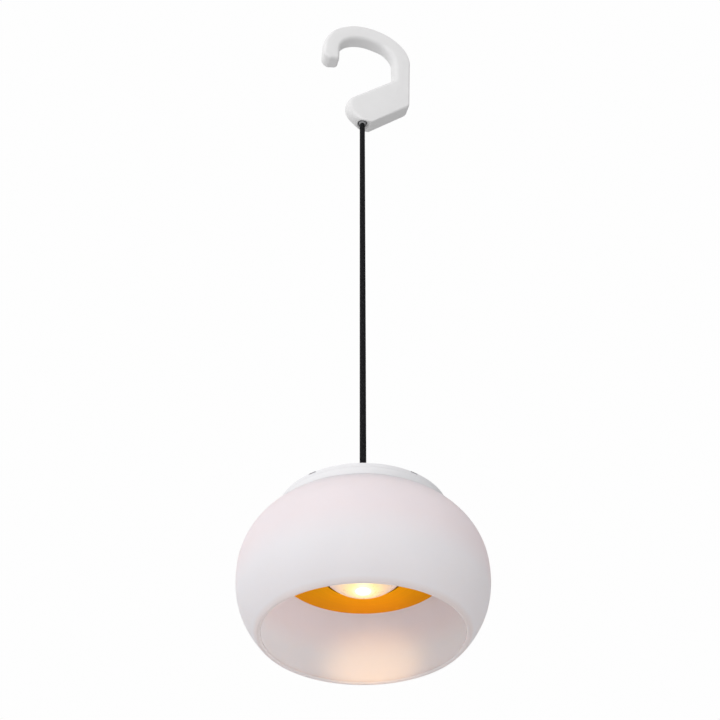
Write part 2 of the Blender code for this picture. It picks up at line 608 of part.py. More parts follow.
def make_socket(lamp):
    """Upright charging socket: a rounded shell with a deep mouth and a tongue in it."""
    low = BOARD_TOP + GAP
    high = low + SOCKET_HEIGHT
    outline = rounded_box_outline(PORT_X, CONTROL_Y, SOCKET_LENGTH, SOCKET_WIDTH, 1.2)
    socket = add_object("charging_socket", plate("charging_socket", outline, low, high), STEEL, parent=lamp)
    mouth = plate("cut_mouth", rounded_box_outline(PORT_X, CONTROL_Y, SOCKET_LENGTH - 0.8,
                                                   SOCKET_WIDTH - 0.8, 0.9), low + 0.8, high + 1.0)
    tongue = block("cut_tongue", (PORT_X - 3.0, PORT_X + 3.0), (CONTROL_Y - 0.35, CONTROL_Y + 0.35),
                   (low, high - 0.7))
    mouth_tool = cutter("cut_mouth", mouth, parent=lamp)
    cut(mouth_tool, cutter("cut_tongue", tongue, parent=lamp))
    cut(socket, mouth_tool)


def make_flap(lamp):
    """Rubber flap over the socket; its origin is on the hinge line at its outer edge."""
    hinge = empty("flap_hinge", (PORT_X, CONTROL_Y + FLAP_WIDTH / 2.0, CAP_TOP), lamp)
    outline = rounded_box_outline(0.0, -FLAP_WIDTH / 2.0, FLAP_LENGTH, FLAP_WIDTH, 0.8)
    flap = plate("port_flap", outline, -FLAP_THICKNESS, 0.0)
    add_object("port_flap", flap, RUBBER, parent=hinge)


def make_screw(name, x, y, seat, tip, lamp):
    """A cap screw: its head bears at seat, and its shank runs to tip, up or down."""
    way = 1.0 if seat > tip else -1.0
    profile = [(0.0, tip), (SCREW_RADIUS, tip), (SCREW_RADIUS, seat), (SCREW_HEAD_RADIUS, seat),
               (SCREW_HEAD_RADIUS, seat + way * 0.7 * SCREW_HEAD_HEIGHT),
               (0.6 * SCREW_HEAD_RADIUS, seat + way * SCREW_HEAD_HEIGHT),
               (0.0, seat + way * SCREW_HEAD_HEIGHT)]
    add_object(name, turned(name, profile, ROUND_TINY, centre=(x, y)), STEEL, parent=lamp)


# ---- can and light ---------------------------------------------------------------------------------
def make_can(lamp):
    """Gold sleeve under the shade's collar; its top plate is screwed up to the cap."""
    profile = [(CAN_RADIUS, CAN_BOTTOM), (CAN_RADIUS, CAN_TOP), (CAN_MOUTH, CAN_TOP),
               (CAN_MOUTH, CAN_TOP - CAN_WALL), (CAN_INNER, CAN_TOP - CAN_WALL), (CAN_INNER, CAN_BOTTOM)]
    can = add_object("inner_can", turned("inner_can", profile, ROUND_BIG), GOLD, parent=lamp)
    for k, (x, y) in enumerate(screw_places()):
        bore = [(0.0, CAN_TOP - CAN_WALL - 1.0), (SCREW_RADIUS + GAP, CAN_TOP - CAN_WALL - 1.0),
                (SCREW_RADIUS + GAP, CAN_TOP + 1.0), (0.0, CAN_TOP + 1.0)]
        tool = turned("cut_can_plate", bore, ROUND_TINY, centre=(x, y))
        cut(can, cutter("cut_can_plate_%d" % (k + 1), tool, parent=lamp))
        make_screw("can_screw_%d" % (k + 1), x, y, CAN_TOP - CAN_WALL - GAP, FLOOR_TOP + 0.6, lamp)


def make_reflector(lamp):
    """Gold cone that closes the can from below, with a rim that plugs into the sleeve."""
    rim_out = CAN_INNER - GAP
    rim_in = rim_out - REFLECTOR_WALL
    low = CAN_BOTTOM - GAP
    profile = [(CAN_RADIUS, low - REFLECTOR_WALL), (CAN_RADIUS, low), (rim_out, low),
               (rim_out, RIM_FLANGE_TOP), (rim_in, RIM_FLANGE_TOP), (rim_in, low),
               (REFLECTOR_HOLE, CONE_INNER_Z + REFLECTOR_WALL), (REFLECTOR_HOLE, CONE_INNER_Z)]
    add_object("reflector", turned("reflector", profile, ROUND_BIG), GOLD, parent=lamp)


def dome(radius, sag, base, steps):
    """A spherical cap hanging below its base circle, from the edge to the axis."""
    ball = (radius ** 2 + sag ** 2) / (2.0 * sag)
    span = math.asin(radius / ball)
    centre = base - sag + ball
    points = []
    for i in range(steps + 1):
        angle = span * (1.0 - i / steps)
        points.append((ball * math.sin(angle), centre - ball * math.cos(angle)))
    points[-1] = (0.0, base - sag)
    return points


def make_light(lamp):
    """Domed lens on the reflector's edge, the light board behind it and the heat spreader."""
    outer = dome(LENS_RADIUS, LENS_SAG, CONE_INNER_Z, 6)
    inner = dome(LENS_RADIUS - LENS_WALL, LENS_SAG - LENS_WALL, CONE_INNER_Z, 6)
    profile = [(LENS_FLANGE_RADIUS, LENS_FLANGE_BOTTOM), (LENS_RADIUS, LENS_FLANGE_BOTTOM)] + outer
    profile += inner[::-1] + [(LENS_RADIUS - LENS_WALL, LENS_FLANGE_TOP),
                              (LENS_FLANGE_RADIUS, LENS_FLANGE_TOP)]
    add_object("lens", turned("lens", profile, ROUND_MID), GLOW, parent=lamp)
    ring_low, ring_high = LENS_FLANGE_TOP + GAP, SPREADER_BOTTOM - GAP
    ring_in = LED_BOARD_RADIUS + 2.0
    ring = [(ring_in, ring_low), (LENS_FLANGE_RADIUS, ring_low), (LENS_FLANGE_RADIUS, ring_high),
            (ring_in, ring_high)]
    add_object("lens_ring", turned("lens_ring", ring, ROUND_MID), PLASTIC, parent=lamp)
    hub = LED_BOARD_RADIUS + 0.5
    spreader = [(0.0, HUB_BOTTOM), (hub, HUB_BOTTOM), (hub, SPREADER_BOTTOM),
                (CAN_INNER - 2.0 * GAP, SPREADER_BOTTOM), (CAN_INNER - 2.0 * GAP, SPREADER_TOP),
                (0.0, SPREADER_TOP)]
    plate_obj = add_object("heat_spreader", turned("heat_spreader", spreader, ROUND_MID), ALUMINIUM,
                           parent=lamp)
    board = add_object("light_board", turned("light_board", [
        (0.0, LED_BOARD_BOTTOM), (LED_BOARD_RADIUS, LED_BOARD_BOTTOM), (LED_BOARD_RADIUS, LED_BOARD_TOP),
        (0.0, LED_BOARD_TOP)], ROUND_MID), ALUMINIUM, parent=lamp)
    emitter_top = LED_BOARD_BOTTOM - GAP
    add_object("light_emitter", turned("light_emitter", [
        (0.0, emitter_top - 1.0), (EMITTER_RADIUS - 0.5, emitter_top - 1.0),
        (EMITTER_RADIUS, emitter_top - 0.5), (EMITTER_RADIUS, emitter_top), (0.0, emitter_top)],
        ROUND_SMALL), GLOW, parent=lamp)
    for k, x in enumerate((-13.0, 13.0)):
        bore = [(0.0, LED_BOARD_BOTTOM - 1.0), (SCREW_RADIUS + GAP, LED_BOARD_BOTTOM - 1.0),
                (SCREW_RADIUS + GAP, SPREADER_BOTTOM + 1.0), (0.0, SPREADER_BOTTOM + 1.0)]
        tool = cutter("cut_light_screw_%d" % (k + 1),
                      turned("cut_light_screw", bore, ROUND_TINY, centre=(x, 0.0)), parent=lamp)
        cut(board, tool)
        cut(plate_obj, tool)
        make_screw("light_screw_%d" % (k + 1), x, 0.0, LED_BOARD_BOTTOM - GAP, SPREADER_BOTTOM + 1.0 - GAP,
                   lamp)


# ---- battery ---------------------------------------------------------------------------------------
EAR_X = TRAY_HALF_X + TRAY_WALL + EAR_LENGTH - 3.2
CELL_X = (SPRING_LENGTH + GAP) / 2.0


def make_battery(lamp):
    """Two rechargeable cells in an open tray, with a spring at one end of each."""
    out_x, out_y = TRAY_HALF_X + TRAY_WALL, TRAY_HALF_Y + TRAY_WALL
    tray = add_object("battery_tray", block("battery_tray", (-out_x, out_x), (-out_y, out_y),
                                            (TRAY_BOTTOM, CELL_Z)), PLASTIC, parent=lamp)
    ears = block("join_ears", (-out_x - EAR_LENGTH, out_x + EAR_LENGTH), (-4.0, 4.0),
                 (TRAY_BOTTOM, TRAY_FLOOR))
    cut(tray, cutter("join_ears", ears, parent=lamp), "UNION")
    inside = block("cut_tray", (-TRAY_HALF_X, TRAY_HALF_X), (-TRAY_HALF_Y, TRAY_HALF_Y),
                   (TRAY_FLOOR, CELL_Z + 1.0))
    cut(tray, cutter("cut_tray", inside, parent=lamp))
    for k, x in enumerate((-EAR_X, EAR_X)):
        bore = [(0.0, SPREADER_BOTTOM + 0.4), (SCREW_RADIUS + GAP, SPREADER_BOTTOM + 0.4),
                (SCREW_RADIUS + GAP, TRAY_FLOOR + 1.0), (0.0, TRAY_FLOOR + 1.0)]
        tool = cutter("cut_tray_screw_%d" % (k + 1),
                      turned("cut_tray_screw", bore, ROUND_TINY, centre=(x, 0.0)), parent=lamp)
        cut(tray, tool)
        cut(bpy.data.objects["heat_spreader"], tool)
        make_screw("tray_screw_%d" % (k + 1), x, 0.0, TRAY_FLOOR + GAP, SPREADER_BOTTOM + 0.4 + GAP, lamp)
    for k, side in enumerate((-1.0, 1.0)):
        make_cell(k + 1, side, lamp)
    for k, side in enumerate((-1.0, 1.0)):
        x = side * (TRAY_HALF_X - GAP - CONTACT_THICKNESS / 2.0)
        strip = block("contact_strip", (x - CONTACT_THICKNESS / 2.0, x + CONTACT_THICKNESS / 2.0),
                      (-CELL_Y - 5.0, CELL_Y + 5.0), (TRAY_FLOOR + GAP, CELL_Z + 3.0))
        add_object("contact_strip_%d" % (k + 1), strip, BRASS, parent=lamp)


def make_cell(number, side, lamp):
    """A round cell lying along X, its raised end against a strip and a coil spring behind it."""
    low = -CELL_LENGTH / 2.0 + CELL_X
    high = CELL_LENGTH / 2.0 + CELL_X
    profile = [(0.0, low), (CELL_RADIUS - 0.5, low), (CELL_RADIUS, low + 0.5), (CELL_RADIUS, high - 1.4),
               (CELL_RADIUS - 0.5, high - 0.9), (3.0, high - 0.9), (3.0, high), (0.0, high)]
    name = "battery_cell_%d" % number
    cell = add_object(name, turned(name, profile, ROUND_SMALL), CELL, parent=lamp)
    cell.rotation_euler = (0.0, math.pi / 2.0, 0.0)
    cell.location = (0.0, side * CELL_Y * MM, CELL_Z * MM)
    start = low - GAP
    turns, steps = 2.5, 8
    count = int(turns * steps)
    wire = 0.45
    reach = SPRING_LENGTH - 2.0 * wire - GAP
    path = []
    for i in range(count + 1):
        angle = TAU * i / steps
        radius = 3.0 + 2.2 * i / count
        path.append((start - wire - reach * i / count, side * CELL_Y + radius * math.cos(angle),
                     CELL_Z + radius * math.sin(angle)))
    tube("cell_spring_%d" % number, path, wire, STEEL, resolution=1, parent=lamp)


def make_leads(lamp):
    """Insulated leads: two from the contact strips and two from the light board, up to the control board."""
    top = BOARD_TOP + LEAD_RADIUS + 2.0 * GAP
    side_x = TRAY_HALF_X - 8.0
    for name, sign, finish in (("battery_lead_red", -1.0, RED), ("battery_lead_black", 1.0, BLACK)):
        x = sign * side_x
        route = [(x, TRAY_HALF_Y + TRAY_WALL + 2.0, CELL_Z - 4.0),
                 (x, TRAY_HALF_Y + TRAY_WALL + 2.4, CELL_Z + 4.0),
                 (x * 0.6, 26.0, CELL_Z + 8.0), (sign * 4.6, LEAD_Y - 1.0, CELL_Z + 10.5),
                 (sign * 4.6, LEAD_Y, FLOOR_TOP), (sign * 4.6, LEAD_Y - 2.0, top + 0.5),
                 (sign * 4.6, LEAD_Y - 7.5, top)]
        tube(name, smooth_path(route, 4), LEAD_RADIUS, finish, resolution=1, parent=lamp)
    for name, sign, finish in (("light_lead_red", -1.0, RED), ("light_lead_black", 1.0, BLACK)):
        x = sign * 1.5
        low = SPREADER_TOP + LEAD_RADIUS + GAP
        route = [(x, TRAY_HALF_Y + TRAY_WALL + 3.0, low), (x, 28.0, low + 0.5), (x, LEAD_Y, low + 5.0),
                 (x, LEAD_Y, CELL_Z + 6.0), (x, LEAD_Y, FLOOR_TOP), (x, LEAD_Y - 2.0, top + 0.5),
                 (x, LEAD_Y - 7.5, top)]
        tube(name, smooth_path(route, 4), LEAD_RADIUS, finish, resolution=1, parent=lamp)


def main():
    clear_scene()
    lamp_z = -RIM_DROP
    make_hook()
    make_cord(lamp_z + LOWER_PIVOT)
    make_swivel(lamp_z)
    hanger = empty("lamp_hanger", (0.0, 0.0, lamp_z + LOWER_PIVOT))
    lamp = empty("lamp", (0.0, 0.0, -LOWER_PIVOT), hanger)
    make_shade(lamp)
    make_cap_housing(lamp)
    make_top_cover(lamp)
    make_bushing(lamp)
    make_board(lamp)
    make_controls(lamp)
    make_can(lamp)
    make_reflector(lamp)
    make_light(lamp)
    make_battery(lamp)
    make_leads(lamp)


main()
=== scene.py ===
"""Looks of the hanging cordless lamp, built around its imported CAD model.

Sizes are in millimetres and are turned into metres when a mesh is made.  Heights inside the lamp
are measured up from the shade's rim, as a person would measure them on the bench.
"""

import json
import math

import bmesh
import bpy
import numpy as np
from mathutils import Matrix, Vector


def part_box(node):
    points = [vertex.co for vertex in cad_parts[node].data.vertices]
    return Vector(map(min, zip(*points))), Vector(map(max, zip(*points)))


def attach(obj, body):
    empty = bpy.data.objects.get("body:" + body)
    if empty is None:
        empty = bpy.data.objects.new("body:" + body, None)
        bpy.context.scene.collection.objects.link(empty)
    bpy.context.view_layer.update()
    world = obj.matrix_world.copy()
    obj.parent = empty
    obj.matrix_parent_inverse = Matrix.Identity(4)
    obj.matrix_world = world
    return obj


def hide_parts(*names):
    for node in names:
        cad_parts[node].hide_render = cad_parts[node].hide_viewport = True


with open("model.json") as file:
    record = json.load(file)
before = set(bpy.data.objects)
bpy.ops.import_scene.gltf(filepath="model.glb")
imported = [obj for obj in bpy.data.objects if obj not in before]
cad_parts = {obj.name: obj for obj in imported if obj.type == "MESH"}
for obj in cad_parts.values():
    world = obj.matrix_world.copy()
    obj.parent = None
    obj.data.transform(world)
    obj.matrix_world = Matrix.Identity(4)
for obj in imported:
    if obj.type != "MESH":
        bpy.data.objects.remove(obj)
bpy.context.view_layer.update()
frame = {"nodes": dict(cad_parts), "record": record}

MM = 0.001
TAU = 2.0 * math.pi
GAP = 0.3


def mm(value):
    """Metres to millimetres."""
    return value / MM


# ---- sizes read from the frame -------------------------------------------------------------------
RIM_Z = mm(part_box("shade")[0].z)
SHADE_RADIUS = mm(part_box("shade")[1].x)
NECK_TOP = mm(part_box("shade")[1].z) - RIM_Z
CAP_RADIUS = mm(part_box("top_cover")[1].x)
CAP_TOP = mm(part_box("top_cover")[1].z) - RIM_Z
COVER_BOTTOM = mm(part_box("top_cover")[0].z) - RIM_Z
FLOOR_BOTTOM = mm(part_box("cap_housing")[0].z) - RIM_Z
CAN_RADIUS = mm(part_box("inner_can")[1].x)
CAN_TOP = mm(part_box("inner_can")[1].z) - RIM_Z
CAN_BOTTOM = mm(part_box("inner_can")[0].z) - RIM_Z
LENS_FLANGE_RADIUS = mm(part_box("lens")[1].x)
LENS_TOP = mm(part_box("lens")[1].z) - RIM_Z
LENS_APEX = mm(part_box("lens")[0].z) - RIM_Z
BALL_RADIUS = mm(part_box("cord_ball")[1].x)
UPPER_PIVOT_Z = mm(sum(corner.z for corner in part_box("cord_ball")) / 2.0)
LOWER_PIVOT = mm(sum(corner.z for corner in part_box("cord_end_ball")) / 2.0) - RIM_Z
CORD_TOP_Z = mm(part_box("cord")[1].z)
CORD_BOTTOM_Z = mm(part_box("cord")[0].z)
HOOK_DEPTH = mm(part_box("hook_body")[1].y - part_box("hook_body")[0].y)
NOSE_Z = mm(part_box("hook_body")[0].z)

# ---- sizes of the shapes between them ------------------------------------------------------------
SHADE_WALL = 2.4
BELLY_HEIGHT = 36.5
LOWER_BULGE, LOWER_POWER = 58.0, 2.17
UPPER_BULGE, UPPER_POWER = 52.5, 2.25
NECK_RADIUS = 46.0
CAP_WALL = 1.4
FLOOR_THICKNESS = 1.4
TROUGH_FLOOR = 1.2
GASKET = 0.8
FLANGE_BOTTOM = NECK_TOP + GASKET + 2.0 * GAP
SKIRT_LAP, SKIRT_EDGE = 2.1, 0.7        # the skirt's thin edge ends below the top of the collar
LEAD_SLOT_Y, LEAD_SLOT_LENGTH, LEAD_SLOT_WIDTH = 33.5, 12.0, 3.2
SCREW_RADIUS = 1.3
WASHER_THICKNESS = 1.2
SOCKET_RADIUS = BALL_RADIUS + WASHER_THICKNESS + 2.0 * GAP
TOWER_WALL = 2.2
BUSHING_RADIUS, BUSHING_PROUD = 6.2, 0.6
CORD_DIAMETER = 4.3
CAN_WALL, CAN_MOUTH = 1.2, 36.0
REFLECTOR_HOLE, REFLECTOR_DROP, REFLECTOR_WALL, REFLECTOR_LIP = 24.1, 5.8, 1.0, 2.1
LENS_RADIUS, LENS_WALL, LENS_FLANGE = 22.8, 1.6, 1.2
BUTTON_X, CONTROL_Y, BUTTON_RADIUS = 12.0, 24.0, 5.0
BUTTON_FLANGE, BUTTON_DISH = 0.9, 0.35
PORT_X = -12.0
FLAP_LENGTH, FLAP_WIDTH, FLAP_THICKNESS = 14.0, 8.0, 1.0
THUMB_BALL, THUMB_DEPTH = 4.8, 0.2      # the hollow that a fingertip catches on the flap
PORT_LENGTH, PORT_WIDTH, PORT_WALL, PORT_FLOOR = 9.2, 3.4, 0.4, 0.8
TONGUE_LENGTH, TONGUE_WIDTH, TONGUE_DROP = 6.0, 0.7, 0.7
PIPE_RADIUS = 1.2
LAMP_FRONT = math.radians(-16.0)        # the side that the cap's slots are laid out about
NOTCH_ANGLE = math.radians(35.0)
NOTCH_WIDTH, NOTCH_DEPTH, NOTCH_HEIGHT, NOTCH_ROOF = 5.0, 2.6, 1.3, 0.35
SEGMENTS = 256                          # round the large turned pieces
CUT_PAST = 1.0                          # how far a cutter runs past the faces it cuts


# ---- mesh tools ----------------------------------------------------------------------------------
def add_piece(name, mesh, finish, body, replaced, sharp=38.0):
    """Link a finished mesh as a piece that rides on a body and stands for CAD nodes."""
    mesh.shade_smooth()
    mesh.set_sharp_from_angle(angle=math.radians(sharp))
    mesh.materials.append(finish)
    piece = bpy.data.objects.new(name, mesh)
    bpy.context.scene.collection.objects.link(piece)
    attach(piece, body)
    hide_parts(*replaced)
    return piece


def mesh_from(name, verts, faces):
    """A mesh in metres from points in millimetres, with its faces turned outwards."""
    mesh = bpy.data.meshes.new(name)
    mesh.from_pydata([(x * MM, y * MM, z * MM) for x, y, z in verts], [], faces)
    bm = bmesh.new()
    bm.from_mesh(mesh)
    bmesh.ops.recalc_face_normals(bm, faces=bm.faces)
    bm.to_mesh(mesh)
    bm.free()
    return mesh


def arc(cx, cz, radius, start, end, steps):
    """Points on an arc, both ends included, angles in degrees."""
    angles = [math.radians(start + (end - start) * i / steps) for i in range(steps + 1)]
    return [(cx + radius * math.cos(a), cz + radius * math.sin(a)) for a in angles]


def soften(outline, corners, steps=5):
    """Round the corners named {index: radius} of a closed outline with tangent arcs."""
    result = []
    for i, point in enumerate(outline):
        if i not in corners:
            result.append(tuple(point))
            continue
        here = Vector(point)
        back = (Vector(outline[i - 1]) - here).normalized()
        ahead = (Vector(outline[(i + 1) % len(outline)]) - here).normalized()
        half = back.angle(ahead) / 2.0
        centre = here + (back + ahead).normalized() * (corners[i] / math.sin(half))
        first = (here + back * (corners[i] / math.tan(half)) - centre).normalized()
        last = (here + ahead * (corners[i] / math.tan(half)) - centre).normalized()
        result += [tuple(centre + corners[i] * first.slerp(last, k / steps)) for k in range(steps + 1)]
    return result


def tube_faces(rings, count):
    """Faces of a closed tube of rings, each with count points, and its two end caps."""
    faces = [list(range(count)), list(range((rings - 1) * count, rings * count))]
    for r in range(rings - 1):
        for i in range(count):
            n = (i + 1) % count
            faces.append([r * count + i, r * count + n, (r + 1) * count + n, (r + 1) * count + i])
    return faces


def lathe(name, profile, base_z, segments=SEGMENTS, centre=(0.0, 0.0)):
    """A closed solid turned about a vertical axis from (radius, height) points over base_z."""
    verts, rings = [], []
    for radius, height in profile:
        count = 1 if radius < 1e-6 else segments
        rings.append([len(verts) + k % count for k in range(segments)])
        for k in range(count):
            angle = TAU * k / segments
            verts.append((centre[0] + radius * math.cos(angle),
                          centre[1] + radius * math.sin(angle), base_z + height))
    faces = []
    for ring, following in zip(rings, rings[1:] + rings[:1]):
        for k in range(segments):
            n = (k + 1) % segments
            corners = [ring[k], ring[n], following[n], following[k]]
            face = [c for j, c in enumerate(corners) if c not in corners[:j]]
            if len(face) > 2:
                faces.append(face)
    return mesh_from(name, verts, faces)


def plate(name, outline, low, high):
    """Extrude a flat outline upwards, between two world heights."""
    n = len(outline)
    verts = [(x, y, low) for x, y in outline] + [(x, y, high) for x, y in outline]
    faces = [list(range(n)), list(range(2 * n - 1, n - 1, -1))]
    faces += [[i, n + i, n + (i + 1) % n, (i + 1) % n] for i in range(n)]
    return mesh_from(name, verts, faces)


def rounded_rectangle(cx, cy, length, width, radius, steps=6):
    """Closed outline of a rectangle with round corners."""
    a, b = length / 2.0, width / 2.0
    corners = [(cx - a, cy - b), (cx + a, cy - b), (cx + a, cy + b), (cx - a, cy + b)]
    return soften(corners, {i: radius for i in range(4)}, steps)


def boolean(mesh, tools, operation="DIFFERENCE"):
    """The mesh cut by (or crossed with) tool meshes, with the exact solver, as a new mesh."""
    target = bpy.data.objects.new("boolean_target", mesh)
    bpy.context.scene.collection.objects.link(target)
    helpers = []
    for tool in tools:
        helper = bpy.data.objects.new("boolean_tool", tool)
        bpy.context.scene.collection.objects.link(helper)
        helpers.append(helper)
        modifier = target.modifiers.new("cut", "BOOLEAN")
        modifier.operation = operation
        modifier.solver = "EXACT"
        modifier.object = helper
    bpy.context.view_layer.update()
    evaluated = target.evaluated_get(bpy.context.evaluated_depsgraph_get())
    result = bpy.data.meshes.new_from_object(evaluated)
    result.name = mesh.name
    for obj in [target] + helpers:
        bpy.data.objects.remove(obj, do_unlink=True)
    return result


def bore(radius, low, high, x=0.0, y=0.0, segments=64):
    """A plain round cutter between two world heights."""
    profile = [(0.0, low), (radius, low), (radius, high), (0.0, high)]
    return lathe("bore", profile, 0.0, segments, (x, y))


def screw_bore(screw, low, high):
    """Clearance hole for a screw of the CAD, between two world heights."""
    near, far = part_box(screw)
    x, y = mm(near.x + far.x) / 2.0, mm(near.y + far.y) / 2.0
    return bore(SCREW_RADIUS + GAP, low, high, x, y, 40)


# ---- material tools ------------------------------------------------------------------------------
class Finish:
    """A Principled material with its nodes at hand."""

    def __init__(self, name, colour, roughness, metallic=0.0, **sockets):
        self.mat = bpy.data.materials.new(name)
        self.mat.use_nodes = True
        self.tree = self.mat.node_tree
        self.shader = self.tree.nodes["Principled BSDF"]
        self.output = self.tree.nodes["Material Output"]
        self.colour = colour
        self.roughness = roughness
        self.set("Base Color", (*colour, 1.0))
        self.set("Roughness", roughness)
        self.set("Metallic", metallic)
        for socket, value in sockets.items():
            self.set(socket.replace("_", " "), value)
        self.place = self.node("ShaderNodeTexCoord").outputs["Object"]

    def set(self, socket, value):
        """Set a value on the Principled shader."""
        self.shader.inputs[socket].default_value = value

    def node(self, kind, **settings):
        """A new node with its settings."""
        made = self.tree.nodes.new(kind)
        for key, value in settings.items():
            setattr(made, key, value)
        return made

    def link(self, source, target):
        self.tree.links.new(source, target)

    def scaled(self, factors):
        """Object coordinates stretched along the axes."""
        mapping = self.node("ShaderNodeMapping")
        mapping.inputs["Scale"].default_value = factors
        self.link(self.place, mapping.inputs["Vector"])
        return mapping.outputs["Vector"]

    def from_axis(self):
        """Distance from the lamp's axis, in metres."""
        across = self.node("ShaderNodeVectorMath", operation="MULTIPLY")
        across.inputs[1].default_value = (1.0, 1.0, 0.0)
        self.link(self.place, across.inputs[0])
        radius = self.node("ShaderNodeVectorMath", operation="LENGTH")
        self.link(across.outputs[0], radius.inputs[0])
        return radius.outputs["Value"]

    def noise(self, size, detail=3.0, vector=None, rough=0.55):
        """Noise whose features are about size metres across, from 0 to 1."""
        texture = self.node("ShaderNodeTexNoise")
        texture.inputs["Scale"].default_value = 1.0 / size
        texture.inputs["Detail"].default_value = detail
        texture.inputs["Roughness"].default_value = rough
        self.link(vector or self.place, texture.inputs["Vector"])
        return texture.outputs["Fac"]

    def between(self, value, low, high, start=0.3, end=0.7):
        """A value mapped from start..end to low..high."""
        ranged = self.node("ShaderNodeMapRange")
        ends = {"From Min": start, "From Max": end, "To Min": low, "To Max": high}
        for socket, number in ends.items():
            ranged.inputs[socket].default_value = number
        self.link(value, ranged.inputs["Value"])
        return ranged.outputs["Result"]

    def ramp(self, value, stops):
        """A colour ramp with (position, colour) stops."""
        made = self.node("ShaderNodeValToRGB")
        elements = made.color_ramp.elements
        while len(elements) < len(stops):
            elements.new(0.5)
        for element, (position, colour) in zip(elements, stops):
            element.position = position
            element.color = (*colour, 1.0)
        self.link(value, made.inputs["Fac"])
        return made.outputs["Color"]

    def mottle(self, size, amount, vector=None):
        """Base colour a little lighter and darker in patches."""
        dark = [c * (1.0 - amount) for c in self.colour]
        light = [min(1.0, c * (1.0 + amount)) for c in self.colour]
        self.link(self.ramp(self.noise(size, vector=vector), [(0.3, dark), (0.7, light)]),
                  self.shader.inputs["Base Color"])
        return self

    def wear(self, size, amount, vector=None):
        """Roughness a little higher and lower in patches."""
        patches = self.noise(size, 4.0, vector)
        rough = self.between(patches, self.roughness - amount, self.roughness + amount)
        self.link(rough, self.shader.inputs["Roughness"])
        return self

    def bump(self, height, depth):
        """Relief from a height value; depth in metres."""
        made = self.node("ShaderNodeBump")
        made.inputs["Strength"].default_value = 1.0
        made.inputs["Distance"].default_value = depth
        self.link(height, made.inputs["Height"])
        self.link(made.outputs["Normal"], self.shader.inputs["Normal"])
        return self

    def grain(self, size, depth, vector=None):
        """Relief of small grains about size metres across."""
        return self.bump(self.noise(size, 2.0, vector), depth)


def moulded(name, colour, roughness, **sockets):
    """Satin moulded plastic: very fine even grain, faint flow marks."""
    finish = Finish(name, colour, roughness, **sockets)
    return finish.mottle(0.018, 0.012).wear(0.006, 0.05).grain(0.00045, 0.000012).mat


def rubbery(name, colour, roughness=0.75):
    """Soft rubber: dull, dusty in patches, fine grain."""
    finish = Finish(name, colour, roughness)
    return finish.mottle(0.004, 0.06).wear(0.003, 0.08).grain(0.0003, 0.00002).mat


def metal(name, colour, roughness, stretch=(1.0, 1.0, 1.0)):
    """Bare metal with faint tool marks along one direction."""
    finish = Finish(name, colour, roughness, 1.0)
    along = finish.scaled(stretch)
    return finish.mottle(0.005, 0.05).wear(0.0012, 0.09, along).grain(0.0005, 0.000008, along).mat


def circuit(name, mask, copper):
    """Solder mask over traces: the borders of a cell pattern stand for the tracks."""
    finish = Finish(name, mask, 0.38)
    cells = finish.node("ShaderNodeTexVoronoi", feature="DISTANCE_TO_EDGE")
    cells.inputs["Scale"].default_value = 420.0
    finish.link(finish.place, cells.inputs["Vector"])
    tracks = finish.ramp(cells.outputs["Distance"], [(0.0, copper), (0.06, mask)])
    finish.link(tracks, finish.shader.inputs["Base Color"])
    return finish.wear(0.004, 0.06).bump(cells.outputs["Distance"], 0.00003).mat


def gold_finish():
    """Satin gold coating, spun: fine rings show as streaks round the axis."""
    finish = Finish("satin_gold", (0.96, 0.43, 0.004), 0.42, 0.75, Specular_IOR_Level=0.1)
    finish.set("Specular Tint", (1.0, 0.42, 0.01, 1.0))
    turned = finish.node("ShaderNodeCombineXYZ")
    finish.link(finish.from_axis(), turned.inputs["X"])
    rings = turned.outputs[0]
    finish.mottle(0.0016, 0.05, rings).wear(0.0008, 0.05, rings)
    return finish.grain(0.0009, 0.00001, rings).mat


def shade_finish():
    """Frosted wall: a good half of the light is scattered back and the rest goes through.

    The colour of what goes through is painted by height: a painted warm glow at the rim, painted warm
    light from the gold sleeve behind the wall, and painted shadow, grey, under the cap.
    """
    finish = Finish("frosted_wall", (0.87, 0.897, 0.938), 0.5, Transmission_Weight=0.18, IOR=1.3)
    finish.mottle(0.03, 0.015).wear(0.01, 0.05).grain(0.0006, 0.00002)
    through = finish.node("ShaderNodeBsdfTranslucent")
    height = finish.node("ShaderNodeSeparateXYZ")
    finish.link(finish.place, height.inputs[0])
    share = finish.between(height.outputs["Z"], 0.0, 1.0, RIM_Z * MM, (RIM_Z + NECK_TOP) * MM)
    # painted light and shade by height: warm glow at the rim, rosy light of the gold sleeve, grey
    # shadow under the cap
    painted_glow_and_shade = [(0.0, (0.88, 0.74, 0.68)), (0.035, (0.955, 0.965, 1.0)), (0.30, (0.955, 0.97, 1.0)),
             (0.52, (0.985, 0.895, 0.91)), (0.80, (0.975, 0.88, 0.90)), (1.0, (0.60, 0.60, 0.65))]
    finish.link(finish.ramp(share, painted_glow_and_shade), through.inputs["Color"])
    mix = finish.node("ShaderNodeMixShader")
    mix.inputs["Fac"].default_value = 0.45
    finish.link(finish.shader.outputs[0], mix.inputs[1])
    finish.link(through.outputs[0], mix.inputs[2])
    finish.link(mix.outputs[0], finish.output.inputs["Surface"])
    return finish.mat


